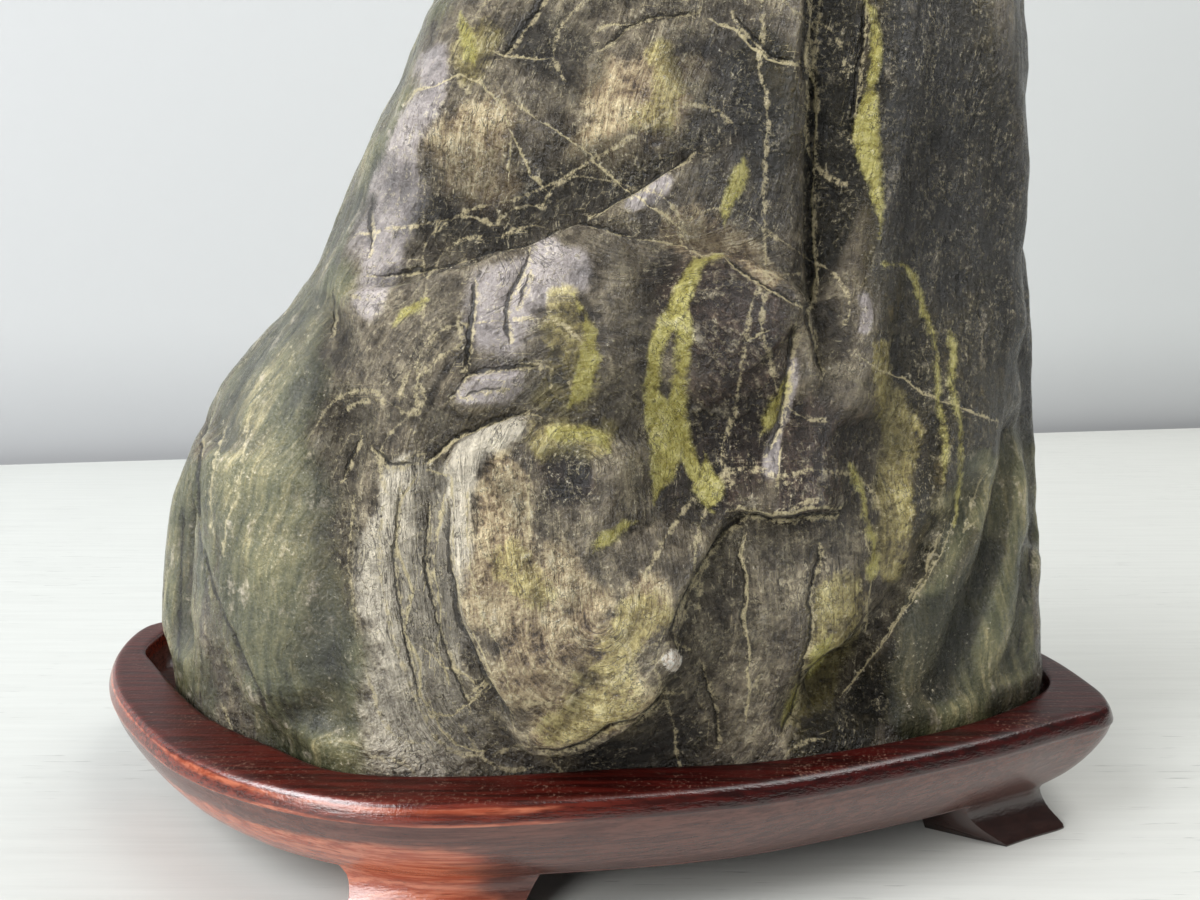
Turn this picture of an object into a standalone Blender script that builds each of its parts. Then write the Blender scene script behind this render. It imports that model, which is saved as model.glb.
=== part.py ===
"""Scholar's rock on its carved hardwood stand.

Two solids: the stone, one natural piece with a flat sawn base, and the stand, a thick board with
a rim, a recess that the stone sits in and four carved feet.

The tables and sizes below are in millimetres, and every mesh is made in metres.  +X is the
viewer's right, -Y the front, +Z up, and Z = 0 is the table.  Turned to the part, "across" means X
on the front and the back of the stone, and Y on its two ends.
"""
import math

import bmesh
import bpy
import numpy as np
from mathutils import Vector, noise

MM = 0.001

# --- Stone: outline from the front, and depth, as (height, value) -------------------------------

STONE_BASE = 20.3
STONE_TOP = 274.0
LEFT_EDGE = [
    (20, -110), (40, -110.5), (60, -107.5), (78, -104), (95, -97), (111, -83), (126, -69),
    (150, -54.6), (172, -42), (196, -31.5), (220, -22), (243, -8), (262, 12), (274, 38),
]
RIGHT_EDGE = [
    (20, 119), (40, 120), (62, 118.5), (82, 116), (100, 112), (120, 108.5), (150, 106.6),
    (176, 106.4), (196, 103.5), (215, 98), (235, 89), (255, 73), (268, 56), (274, 38),
]
FRONT_DEPTH = [
    (20, 45), (40, 47), (60, 49), (90, 47), (130, 41), (165, 37), (196, 34), (220, 30.5),
    (243, 25), (262, 16), (274, 0),
]
BACK_DEPTH = [
    (20, 44), (60, 45), (110, 41), (160, 36), (196, 33), (220, 30), (243, 24.5), (262, 16),
    (274, 0),
]

# Plan of the stone low down and at its shoulder; only the shape counts, not the size.
FOOT_PLAN = [
    (-111.5, 22), (-106, 5.5), (-96, -7), (-86, -18.5), (-68, -30), (-47, -43.8), (-20, -45),
    (8, -42), (35, -40), (52, -36.5), (62, -31), (80, -25.5), (98, -17), (112, -6.5), (118.5, 6),
    (115, 20), (103, 32), (75, 40), (30, 44), (-15, 44.5), (-60, 43.5), (-92, 40), (-107, 33),
]
SHOULDER_PLAN = [
    (-34.7, 8), (-31, -8), (-22, -21), (-6, -29.5), (18, -33), (42, -31), (55, -26.5), (64, -26),
    (80, -20), (94, -9), (101.5, 5), (99, 17), (86, 27), (60, 32), (25, 33), (-5, 30), (-24, 23),
    (-32, 17),
]
FOOT_PLAN_TO = 30
SHOULDER_PLAN_FROM = 185

# --- Stone: main forms ----------------------------------------------------------------------------

# The four sides that a form can lie on, as the direction that each side faces.
FRONT, RIGHT, BACK, LEFT = (0, -1), (1, 0), (0, 1), (-1, 0)

# Rounded swells and hollows: side, centre (across, up), half sizes, rise.
SWELLS = {
    "lower_lobe": (FRONT, (0, 68), (31, 42), 8.4),
    "ledge_block": (FRONT, (0, 119), (38, 22), 5.0),
    "hollow_over_ledge": (FRONT, (-16, 146), (36, 15), -3.5),
    "dome": (FRONT, (31, 118), (18, 20), 5.4),
    "plate": (FRONT, (46, 98), (15, 24), 3.5),
    "tan_patch": (FRONT, (14, 166), (19, 17), 3.6),
    "left_panel": (FRONT, (-20, 160), (18, 20), 2.4),
    "left_flank_lobe": (FRONT, (-62, 76), (19, 44), 4.0),
    "low_right_hollow": (FRONT, (57, 40), (17, 16), -8.0),
    "low_right_bulge": (FRONT, (80, 90), (20, 30), 3.0),
    "brow": (FRONT, (34, 218), (42, 22), 2.5),
    "back_low_lobe": (BACK, (40, 66), (42, 42), 5.0),
    "back_left_lobe": (BACK, (-55, 62), (38, 38), 4.5),
    "back_dish": (BACK, (5, 118), (40, 26), -4.0),
    "back_shoulder": (BACK, (62, 158), (32, 46), 4.0),
    "back_brow": (BACK, (20, 212), (42, 28), 3.0),
    "left_end_lobe": (LEFT, (16, 62), (22, 36), 2.5),
    "right_end_lobe": (RIGHT, (12, 104), (18, 46), 3.0),
    "right_end_hollow": (RIGHT, (8, 48), (18, 20), -2.5),
}

# Rounded folds: side, half width, rise (negative for a furrow), and the line, each point
# (across, up).
FOLDS = {
    "centre_cleft": (
        FRONT, 4, -2.4, [(44, 216), (47, 196), (46, 178), (46, 158), (46, 140), (47, 120)],
    ),
    "right_crest": (FRONT, 8, 3.6, [(61, 200), (61, 160), (59, 130), (57, 116), (55, 98)]),
    "left_crest": (FRONT, 9, 3.8, [(-20, 190), (-26, 165), (-34, 152), (-39, 138), (-47, 120)]),
    "flank_furrow": (
        FRONT, 7, -3.2, [(-44, 112), (-46, 98), (-48, 84), (-50, 68), (-52, 50), (-53, 34)],
    ),
    "first_flute": (FRONT, 6, -4.4, [(92, 92), (80, 76), (75, 66), (68, 58), (60, 48), (52, 38)]),
    "second_flute": (
        FRONT, 6, -4.0, [(104, 104), (101, 84), (97, 70), (93, 60), (86, 44), (80, 33)],
    ),
    "third_flute": (FRONT, 5, -2.8, [(112, 74), (109, 58), (105, 46), (102, 34)]),
    "edge_fold": (FRONT, 6, 2.6, [(84, 196), (88, 174), (96, 160), (100, 146), (101, 128), (99, 112)]),
    "left_streak": (FRONT, 4, -2.2, [(-86, 100), (-94, 92), (-98, 74), (-99, 56), (-97, 36)]),
    "back_fold": (BACK, 9, -4.5, [(-6, 222), (10, 184), (-2, 150), (12, 112), (-6, 82), (-12, 40)]),
    "back_right_fold": (BACK, 8, -3.5, [(86, 150), (72, 112), (80, 76), (70, 38)]),
    "back_crest": (BACK, 9, 3.0, [(-44, 150), (-30, 118), (-34, 84), (-30, 44)]),
    "left_end_furrow": (LEFT, 6, -2.6, [(2, 106), (-2, 84), (2, 60), (0, 36)]),
    "right_end_furrow": (RIGHT, 6, -3.2, [(-4, 196), (0, 160), (-3, 128), (2, 100), (0, 62)]),
}

# Ledges, as (side, reach, rise, line): the stone stands proud on the left hand of the line's travel
# and dies away over the reach.
LEDGES = {
    "centre_step": (FRONT, 17, 4.0, [(48, 104), (47, 120), (46, 140), (46, 178), (47, 196), (44, 222)]),
    "lobe_rim": (
        FRONT, 15, 3.6,
        [(18, 96), (8, 100), (-4, 103), (-14, 102), (-21, 97), (-24, 86), (-22, 70), (-19, 61),
         (-15, 54), (-12, 42), (-8, 36), (0, 36), (9, 42), (16, 48), (19, 58), (23, 71), (30, 83)],
    ),
    "shoulder": (
        FRONT, 18, 3.6,
        [(18, 134), (11, 136), (3, 139), (-6, 137), (-12, 134), (-19, 131), (-32, 128), (-48, 124)],
    ),
    "dome_top": (FRONT, 14, 3.0, [(48, 121), (44, 126), (36, 131), (30, 134), (24, 135), (18, 137)]),
    "diagonal": (FRONT, 12, 2.4, [(36, 158), (22, 152), (13, 147), (5, 143), (-3, 139)]),
    "plate_foot": (FRONT, 16, 3.8, [(27, 83), (34, 85), (41, 83), (49, 84), (56, 85)]),
    "slab": (FRONT, 12, 2.6, [(-7, 113), (-14, 111), (-21, 111), (-27, 104)]),
    "flank_fold": (
        FRONT, 20, 3.6,
        [(-84, 99), (-84, 89), (-82, 77), (-80, 66), (-76, 56), (-72, 46), (-66, 34)],
    ),
    "back_step": (
        BACK, 22, 3.4, [(-78, 92), (-52, 110), (-22, 118), (8, 108), (36, 112), (66, 126)],
    ),
    "back_low_step": (BACK, 16, 2.6, [(78, 82), (52, 94), (24, 88), (2, 74)]),
}
LEDGE_SOFTNESS = 1.6
FORM_END_FADE = 9.0

# Forms count fully where the surface faces their side, and fade out where it turns away.
FACING_FADE = (0.03, 0.42)

# Natural unevenness: (grain size, depth) of each layer of smooth noise.
UNEVENNESS = [(46.0, 2.0), (21.0, 0.9), (10.0, 0.35)]

# The foot of the stone keeps to its plan inside the recess, and takes its relief above the rim.
RELIEF_FROM, RELIEF_FULL = 31.0, 39.0

STONE_FRONT_COLUMNS = 170
STONE_BACK_COLUMNS = 110
STONE_ROWS = 130
STONE_TRIANGLES = 7200

# --- Stand ----------------------------------------------------------------------------------------

RIM_TOP = 31.0
RECESS_FLOOR = 20.0
BOARD_UNDERSIDE = 10.0
RIM_PLAN = [
    (-130.5, 36), (-127.5, 18), (-119, 0), (-105, -18.4), (-84.4, -38.2), (-61.6, -50.9),
    (-35, -57.8), (-4, -56.8), (40, -50), (87, -34), (113, -22.5), (126, -16.5), (130, -9),
    (130.5, 0), (129.3, 12.8), (126, 24), (118, 38), (102, 48), (70, 55), (25, 57.5), (-30, 57.5),
    (-80, 55.5), (-112, 51), (-126, 44.3),
]
RECESS_PLAN = [
    (-121, 30), (-119.5, 20), (-112, 10), (-98.6, -6), (-84, -21), (-66, -33.5), (-47, -44.6),
    (-20, -46.2), (8, -43.4), (35, -41.2), (55, -36.5), (75, -29.8), (95, -20.5), (110, -10.5),
    (119, -1), (121, 10), (118, 22), (108, 33), (88, 41), (50, 45), (0, 46), (-50, 46),
    (-90, 44.5), (-112, 41), (-120, 36),
]
UNDERSIDE_SCALE = (0.89, 0.84)
INNER_FOOT_SCALE = (0.79, 0.61)

# The rim's edge, as (inset, height), from the top of the rim to its outermost arris.
RIM_EDGE = [(2.6, 31.0), (1.1, 30.4), (0.0, 27.0)]
# The wall below it, as (share of the way in to the underside's outline, height).
WALL_PROFILE = [(0.10, 23.3), (0.30, 18.8), (0.60, 14.2), (1.0, 10.0)]
# The outer face of a foot goes on from the wall: a neck, and a toe that flares out again.
FOOT_PROFILE = [(1.0, 10.0), (1.06, 7.4), (0.90, 4.2), (0.55, 0.8), (0.52, 0.0)]
RECESS_LIP = 0.8
MERGE_DISTANCE = 0.01
STAND_FRONT_COLUMNS = 48
STAND_BACK_COLUMNS = 32

# Feet: the plan point under the middle of each, half its length on the table, and how far its left
# and right flanks run out along the outline as they rise to the board.
FEET = {
    "front_left": ((-28, -48), 18, 6, 6),
    "front_right": ((104, -20), 10, 5, 8),
    "back_right": ((98, 41), 14, 10, 10),
    "back_left": ((-113, 33), 14, 14, 8),
}


# --- Curves and outlines --------------------------------------------------------------------------

def smooth_step(low, high, value):
    """0 below low, 1 above high, and smooth between."""
    t = np.clip((value - low) / (high - low), 0.0, 1.0)
    return t * t * (3.0 - 2.0 * t)


def rise(height):
    """Heights of the stone as an angle that slows towards its top, which makes the top a dome."""
    return np.arcsin(np.clip((np.asarray(height, float) - STONE_BASE) / (STONE_TOP - STONE_BASE), 0, 1))


def read_table(table, height):
    """A smooth curve through the table's (height, value) pairs, read at the heights."""
    knots = rise([h for h, _ in table])
    values = np.array([v for _, v in table], float)
    slopes = np.gradient(values, knots)
    at = rise(height)
    k = np.clip(np.searchsorted(knots, at, side="right") - 1, 0, len(knots) - 2)
    span = knots[k + 1] - knots[k]
    u = (at - knots[k]) / span
    return ((2 * u**3 - 3 * u**2 + 1) * values[k] + (u**3 - 2 * u**2 + u) * span * slopes[k]
            + (3 * u**2 - 2 * u**3) * values[k + 1] + (u**3 - u**2) * span * slopes[k + 1])


def closed_curve(points, steps=40):
    """A smooth closed curve through the points (Catmull-Rom)."""
    p = np.array(points, float)
    before, here, after, next_one = np.roll(p, 1, 0), p, np.roll(p, -1, 0), np.roll(p, -2, 0)
    u = (np.arange(steps) / steps)[None, :, None]
    a, b, c, d = (q[:, None, :] for q in (before, here, after, next_one))
    curve = 0.5 * (2 * b + (c - a) * u + (2 * a - 5 * b + 4 * c - d) * u**2
                   + (3 * b - a - 3 * c + d) * u**3)
    return curve.reshape(-1, 2)


def split_curve(plan):
    """The plan's outline in two halves: left end to right end round the front, and back behind."""
    curve = closed_curve(plan)
    curve = np.roll(curve, -int(curve[:, 0].argmin()), axis=0)
    right_end = int(curve[:, 0].argmax())
    return curve[:right_end + 1], np.r_[curve[right_end:], curve[:1]]


def distance_along(line):
    """How far along the line each of its points lies."""
    return np.r_[0, np.cumsum(np.linalg.norm(np.diff(line, axis=0), axis=1))]


def plan_points(plan, stations):
    """Points of the outline: stations 0 to 1 share out its front half, and 1 to 2 its back half."""
    points = np.zeros((len(stations), 2))
    for start, half in enumerate(split_curve(plan)):
        here = (stations >= start) & (stations < start + 1)
        length = distance_along(half)
        at = (stations[here] - start) * length[-1]
        points[here] = np.c_[np.interp(at, length, half[:, 0]), np.interp(at, length, half[:, 1])]
    return points


def even_stations(front_columns, back_columns):
    """Stations at even distances along the front half and along the back half."""
    return np.r_[np.arange(front_columns) / front_columns, 1 + np.arange(back_columns) / back_columns]


def unit_plan(plan, front_columns, back_columns):
    """The plan's outline with its width, front and back each brought to the range -1 to 1."""
    p = plan_points(plan, even_stations(front_columns, back_columns))
    low, high = p[:, 0].min(), p[:, 0].max()
    front, back = -p[:, 1].min(), p[:, 1].max()
    depth = np.where(p[:, 1] < 0, p[:, 1] / front, p[:, 1] / back)
    return np.c_[2 * (p[:, 0] - low) / (high - low) - 1, depth]


# --- Stone ----------------------------------------------------------------------------------------

def stone_base_form(front_columns, back_columns, heights):
    """The stone without relief: rows of points, one row for each height."""
    foot = unit_plan(FOOT_PLAN, front_columns, back_columns)
    shoulder = unit_plan(SHOULDER_PLAN, front_columns, back_columns)
    mix = smooth_step(FOOT_PLAN_TO, SHOULDER_PLAN_FROM, heights)[:, None]
    across = foot[None, :, 0] * (1 - mix) + shoulder[None, :, 0] * mix
    deep = foot[None, :, 1] * (1 - mix) + shoulder[None, :, 1] * mix
    left, right, front, back = (
        read_table(table, heights)[:, None]
        for table in (LEFT_EDGE, RIGHT_EDGE, FRONT_DEPTH, BACK_DEPTH))
    x = left + (right - left) * (across + 1) / 2
    y = np.where(deep < 0, deep * front, deep * back)
    z = np.broadcast_to(heights[:, None], x.shape)
    return np.stack([x, y, z], axis=-1)


def grid_normals(points):
    """Outward unit normals of a grid of rows that close on themselves."""
    along = np.roll(points, -1, axis=1) - np.roll(points, 1, axis=1)
    up = np.gradient(points, axis=0)
    normal = np.cross(along, up)
    return normal / np.maximum(np.linalg.norm(normal, axis=-1, keepdims=True), 1e-9)


def smooth_line(points, steps=6):
    """A smooth open line through the points."""
    p = np.array(points, float)
    padded = np.r_[[2 * p[0] - p[1]], p, [2 * p[-1] - p[-2]]]
    u = (np.arange(steps) / steps)[None, :, None]
    a, b, c, d = (padded[i:len(p) - 1 + i][:, None, :] for i in range(4))
    line = 0.5 * (2 * b + (c - a) * u + (2 * a - 5 * b + 4 * c - d) * u**2
                  + (3 * b - a - 3 * c + d) * u**3)
    return np.r_[line.reshape(-1, 2), p[-1:]]


def measure_from_line(line, across, up):
    """Distance to a line, the side it lies on (+1 on the left of travel), and distance to its ends."""
    best = np.full(across.shape, np.inf)
    score = best.copy()
    side = np.zeros(across.shape)
    along = np.zeros(across.shape)
    lengths = np.r_[0, np.cumsum(np.linalg.norm(np.diff(line, axis=0), axis=1))]
    for (ax, az), (bx, bz), start in zip(line, line[1:], lengths):
        ux, uz = bx - ax, bz - az
        length = math.hypot(ux, uz)
        t = np.clip(((across - ax) * ux + (up - az) * uz) / length**2, 0, 1)
        dx, dz = across - ax - t * ux, up - az - t * uz
        distance = np.hypot(dx, dz)
        square = (ux * dz - uz * dx) / length
        nearer = distance - 1e-3 * np.abs(square) < score
        score = np.where(nearer, distance - 1e-3 * np.abs(square), score)
        best = np.where(nearer, distance, best)
        side = np.where(nearer, np.sign(square), side)
        along = np.where(nearer, start + t * length, along)
    return best, side, np.minimum(along, lengths[-1] - along)


def stone_relief(points, normals):
    """How far each point moves along its normal, summed over all the main forms."""
    x, y, z = (points[..., i] for i in range(3))
    total = np.zeros(x.shape)
    facing = {
        side: smooth_step(*FACING_FADE, normals[..., 0] * side[0] + normals[..., 1] * side[1])
        for side in (FRONT, RIGHT, BACK, LEFT)
    }
    across = {FRONT: x, BACK: x, RIGHT: y, LEFT: y}
    for side, (cx, cz), (rx, rz), height in SWELLS.values():
        r2 = ((across[side] - cx) / rx)**2 + ((z - cz) / rz)**2
        total += facing[side] * height * np.clip(1 - r2, 0, 1)**1.5
    for side, width, height, points_on_line in FOLDS.values():
        distance, _, to_end = measure_from_line(smooth_line(points_on_line), across[side], z)
        fade = smooth_step(0, FORM_END_FADE, to_end)
        total += facing[side] * fade * height * np.exp(-(distance / width)**2)
    for side, reach, height, points_on_line in LEDGES.values():
        distance, hand, to_end = measure_from_line(smooth_line(points_on_line), across[side], z)
        fade = smooth_step(0, FORM_END_FADE, to_end)
        step = smooth_step(-LEDGE_SOFTNESS, LEDGE_SOFTNESS, hand * distance)
        total += facing[side] * fade * height * step * np.exp(-(distance / reach)**2)
    return total


def unevenness(points):
    """Smooth natural lumps, the same on every run."""
    flat = points.reshape(-1, 3)
    total = np.zeros(len(flat))
    for grain, depth in UNEVENNESS:
        total += depth * np.array([noise.noise(Vector(p / grain)) for p in flat])
    return total.reshape(points.shape[:-1])


def stone_points(front_columns, back_columns, rows):
    """The finished stone as a grid of points, and the point at its very top."""
    angles = np.linspace(0, math.pi / 2, rows + 1)[:-1]
    heights = STONE_BASE + (STONE_TOP - STONE_BASE) * np.sin(angles)
    points = stone_base_form(front_columns, back_columns, heights)
    normals = grid_normals(points)
    relief = stone_relief(points, normals) + unevenness(points)
    relief *= smooth_step(RELIEF_FROM, RELIEF_FULL, points[..., 2])
    points = points + normals * relief[..., None]
    peak = points[-1].mean(axis=0) + [0, 0, (STONE_TOP - heights[-1]) / 2]
    return points, peak


def make_stone():
    """The stone, thinned to the triangles that its forms need."""
    points, peak = stone_points(STONE_FRONT_COLUMNS, STONE_BACK_COLUMNS, STONE_ROWS)
    rows, columns = points.shape[:2]
    bm = bmesh.new()
    # Rounded to a thousandth of a millimetre, so that the thinning below always runs the same way.
    grid = [[bm.verts.new(np.round(p * MM, 6)) for p in row] for row in points]
    bridge_rows(bm, grid)
    cap_with_point(bm, grid[0], np.array([*points[0, :, :2].mean(axis=0), STONE_BASE]), upward=False)
    cap_with_point(bm, grid[-1], peak, upward=True)
    stone = finish_object("stone", bm, stone_material())
    thin = stone.modifiers.new("thin out", "DECIMATE")
    thin.ratio = STONE_TRIANGLES / (2 * rows * columns)
    return stone


# --- Mesh helpers ---------------------------------------------------------------------------------

def bridge_rows(bm, grid):
    """Faces between each row of a grid and the next, their outsides facing out."""
    columns = len(grid[0])
    for lower, upper in zip(grid, grid[1:]):
        for i in range(columns):
            j = (i + 1) % columns
            bm.faces.new((lower[i], lower[j], upper[j], upper[i]))


def cap_with_point(bm, ring, centre, upward):
    """A fan of triangles that closes a ring."""
    middle = bm.verts.new(np.round(centre * MM, 6))
    for i, vert in enumerate(ring):
        after = ring[(i + 1) % len(ring)]
        bm.faces.new((vert, after, middle) if upward else (after, vert, middle))


def finish_object(name, bm, material):
    """A named object from a bmesh, shaded smooth except at its sharp edges."""
    mesh = bpy.data.meshes.new(name)
    bm.to_mesh(mesh)
    bm.free()
    mesh.materials.append(material)
    mesh.shade_smooth()
    mesh.set_sharp_from_angle(angle=math.radians(40))
    body = bpy.data.objects.new(name, mesh)
    bpy.context.scene.collection.objects.link(body)
    return body


# --- Stand ----------------------------------------------------------------------------------------

def inward(points):
    """Unit directions, in plan, from a closed outline to its inside."""
    along = np.roll(points, -1, axis=0) - np.roll(points, 1, axis=0)
    normal = np.c_[-along[:, 1], along[:, 0]]
    return normal / np.linalg.norm(normal, axis=1, keepdims=True)


def outline_distances():
    """The rim's outline as one closed run of points, with each one's distance and station."""
    front, back = split_curve(RIM_PLAN)
    run = np.r_[front[:-1], back]
    distance = distance_along(run)
    turn = distance[len(front) - 1]
    station = np.where(distance < turn, distance / turn,
                       1 + (distance - turn) / (distance[-1] - turn))
    return run, distance, station


def foot_breaks():
    """For each foot, the four distances along the rim where it starts, is full, is full and ends."""
    run, distance, _ = outline_distances()
    breaks = []
    for middle, half_length, left_run, right_run in FEET.values():
        under = run * np.array(UNDERSIDE_SCALE)
        centre = distance[int(np.linalg.norm(under - np.array(middle), axis=1).argmin())]
        steps = (-half_length - left_run, -half_length, half_length, half_length + right_run)
        breaks.append([centre + step for step in steps])
    return breaks


def foot_share(stations):
    """How much of a foot each station has: 0 between feet, 1 on a foot, and between on its flanks."""
    _, distance, station = outline_distances()
    at = np.interp(stations, station, distance)
    share = np.zeros(len(stations))
    for breaks in foot_breaks():
        for turn in (-1, 0, 1):
            reach = at + turn * distance[-1]
            share = np.maximum(share, np.interp(reach, breaks, [0, 1, 1, 0]))
    return share


def stand_stations(front_columns, back_columns):
    """Even stations, and one at each place where a foot's flank starts or ends."""
    _, distance, station = outline_distances()
    corners = np.interp(np.mod(np.ravel(foot_breaks()), distance[-1]), distance, station)
    even = even_stations(front_columns, back_columns)
    apart = np.abs(even[:, None] - corners[None, :]).min(axis=1) > 0.3 / front_columns
    return np.sort(np.r_[even[apart], corners])


def stand_rings(stations):
    """The stand's rings, from the recess floor over the rim, down the wall and feet, and in again."""
    rim = plan_points(RIM_PLAN, stations)
    recess = plan_points(RECESS_PLAN, stations)
    underside = rim * np.array(UNDERSIDE_SCALE)
    inner = rim * np.array(INNER_FOOT_SCALE)
    foot = foot_share(stations)
    level = np.ones(len(stations))
    rings = [
        (recess, RECESS_FLOOR * level),
        (recess, (RIM_TOP - RECESS_LIP) * level),
        (recess - inward(recess) * RECESS_LIP, RIM_TOP * level),
    ]
    rings += [(rim + inward(rim) * inset, height * level) for inset, height in RIM_EDGE]
    rings += [(rim + (underside - rim) * share, height * level) for share, height in WALL_PROFILE]
    shares, heights = np.array(FOOT_PROFILE[::-1]).T
    for height in heights[-2::-1]:
        reached = BOARD_UNDERSIDE - (BOARD_UNDERSIDE - height) * foot
        share = np.interp(reached, heights, shares)[:, None]
        rings.append((rim + (underside - rim) * share, reached))
    rings.append((inner, BOARD_UNDERSIDE * (1 - foot)))
    rings.append((inner, BOARD_UNDERSIDE * level))
    return [np.c_[ring, height] for ring, height in rings]


def make_stand():
    """The board, with its recess and its four feet, one solid."""
    rings = stand_rings(stand_stations(STAND_FRONT_COLUMNS, STAND_BACK_COLUMNS))
    bm = bmesh.new()
    grid = [[bm.verts.new(p * MM) for p in ring] for ring in reversed(rings)]
    bridge_rows(bm, grid)
    bm.faces.new(list(reversed(grid[0])))
    bm.faces.new(grid[-1])
    # Between the feet, the rings of the feet lie on each other and are merged.
    bmesh.ops.remove_doubles(bm, verts=bm.verts, dist=MERGE_DISTANCE * MM)
    return finish_object("stand", bm, wood_material())


# --- Materials ------------------------------------------------------------------------------------

def plain_material(name, colour, roughness):
    """A material of one colour and gloss, made once and shared."""
    material = bpy.data.materials.get(name) or bpy.data.materials.new(name)
    material.use_nodes = True
    shader = material.node_tree.nodes["Principled BSDF"]
    shader.inputs["Base Color"].default_value = (*colour, 1.0)
    shader.inputs["Roughness"].default_value = roughness
    shader.inputs["Metallic"].default_value = 0.0
    return material


def stone_material():
    """Waxed dark olive-grey stone."""
    return plain_material("waxed_stone", (0.085, 0.085, 0.065), 0.42)


def wood_material():
    """Dark red-brown lacquered hardwood."""
    return plain_material("lacquered_wood", (0.115, 0.022, 0.016), 0.25)


def clear_scene():
    """Remove every object that the scene starts with."""
    for old in list(bpy.data.objects):
        bpy.data.objects.remove(old, do_unlink=True)


clear_scene()
make_stone()
make_stand()
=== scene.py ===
"""Looks of a scholar's rock on its carved hardwood stand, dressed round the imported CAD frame.

The stone and the stand repeat the outlines and main forms of the CAD part, in the same frame, and
add the fine relief, veins, cracks and finishes.  Tables are in millimetres unless a comment says
pixels.  +X is the viewer's right, -Y the front, +Z up, and Z = 0 is the table.
"""

import math

import bpy
import numpy as np
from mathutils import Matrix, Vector, noise


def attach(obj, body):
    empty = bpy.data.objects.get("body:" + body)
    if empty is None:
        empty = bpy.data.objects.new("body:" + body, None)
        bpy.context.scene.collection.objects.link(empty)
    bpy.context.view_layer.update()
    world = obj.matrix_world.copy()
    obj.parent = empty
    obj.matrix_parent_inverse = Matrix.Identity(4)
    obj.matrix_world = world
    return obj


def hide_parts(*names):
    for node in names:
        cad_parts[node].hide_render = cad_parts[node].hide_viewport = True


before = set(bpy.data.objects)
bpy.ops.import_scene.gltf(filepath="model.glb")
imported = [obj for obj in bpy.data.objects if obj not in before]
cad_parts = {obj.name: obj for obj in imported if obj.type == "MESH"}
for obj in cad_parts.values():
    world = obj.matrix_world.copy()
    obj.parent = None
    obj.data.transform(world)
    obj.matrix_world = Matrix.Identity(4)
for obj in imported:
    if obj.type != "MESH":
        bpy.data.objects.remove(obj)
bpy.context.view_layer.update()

MM = 0.001
MM_IN_METRE = (1000.0, 1000.0, 1000.0)

# --- Stone: outline from the front, and depth, as (height, value) -------------------------------

STONE_BASE = 20.3
STONE_TOP = 274.0
LEFT_EDGE = [
    (20, -110), (40, -110.5), (60, -107.5), (78, -104), (95, -97), (111, -83), (126, -69),
    (150, -54.6), (172, -42), (196, -31.5), (220, -22), (243, -8), (262, 12), (274, 38),
]
RIGHT_EDGE = [
    (20, 119), (40, 120), (62, 118.5), (82, 116), (100, 112), (120, 108.5), (150, 106.6),
    (176, 106.4), (196, 103.5), (215, 98), (235, 89), (255, 73), (268, 56), (274, 38),
]
FRONT_DEPTH = [
    (20, 45), (40, 47), (60, 49), (90, 47), (130, 41), (165, 37), (196, 34), (220, 30.5),
    (243, 25), (262, 16), (274, 0),
]
BACK_DEPTH = [
    (20, 44), (60, 45), (110, 41), (160, 36), (196, 33), (220, 30), (243, 24.5), (262, 16),
    (274, 0),
]

# Plan of the stone low down and at its shoulder; only the shape counts, not the size.
FOOT_PLAN = [
    (-111.5, 22), (-106, 5.5), (-96, -7), (-86, -18.5), (-68, -30), (-47, -43.8), (-20, -45),
    (8, -42), (35, -40), (52, -36.5), (62, -31), (80, -25.5), (98, -17), (112, -6.5), (118.5, 6),
    (115, 20), (103, 32), (75, 40), (30, 44), (-15, 44.5), (-60, 43.5), (-92, 40), (-107, 33),
]
SHOULDER_PLAN = [
    (-34.7, 8), (-31, -8), (-22, -21), (-6, -29.5), (18, -33), (42, -31), (55, -26.5), (64, -26),
    (80, -20), (94, -9), (101.5, 5), (99, 17), (86, 27), (60, 32), (25, 33), (-5, 30), (-24, 23),
    (-32, 17),
]
FOOT_PLAN_TO = 30
SHOULDER_PLAN_FROM = 185

# --- Stone: main forms ----------------------------------------------------------------------------

# The four sides that a form can lie on, as the direction that each side faces.
FRONT, RIGHT, BACK, LEFT = (0, -1), (1, 0), (0, 1), (-1, 0)

# Rounded swells and hollows: side, centre (across, up), half sizes, rise.
SWELLS = {
    "lower_lobe": (FRONT, (0, 68), (31, 42), 8.4),
    "ledge_block": (FRONT, (0, 119), (38, 22), 5.0),
    "hollow_over_ledge": (FRONT, (-16, 146), (36, 15), -3.5),
    "dome": (FRONT, (31, 118), (18, 20), 5.4),
    "plate": (FRONT, (46, 98), (15, 24), 3.5),
    "tan_patch": (FRONT, (14, 166), (19, 17), 3.6),
    "left_panel": (FRONT, (-20, 160), (18, 20), 2.4),
    "left_flank_lobe": (FRONT, (-62, 76), (19, 44), 4.0),
    "low_right_hollow": (FRONT, (57, 40), (17, 16), -8.0),
    "low_right_bulge": (FRONT, (80, 90), (20, 30), 3.0),
    "brow": (FRONT, (34, 218), (42, 22), 2.5),
    "back_low_lobe": (BACK, (40, 66), (42, 42), 5.0),
    "back_left_lobe": (BACK, (-55, 62), (38, 38), 4.5),
    "back_dish": (BACK, (5, 118), (40, 26), -4.0),
    "back_shoulder": (BACK, (62, 158), (32, 46), 4.0),
    "back_brow": (BACK, (20, 212), (42, 28), 3.0),
    "left_end_lobe": (LEFT, (16, 62), (22, 36), 2.5),
    "right_end_lobe": (RIGHT, (12, 104), (18, 46), 3.0),
    "right_end_hollow": (RIGHT, (8, 48), (18, 20), -2.5),
}

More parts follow.
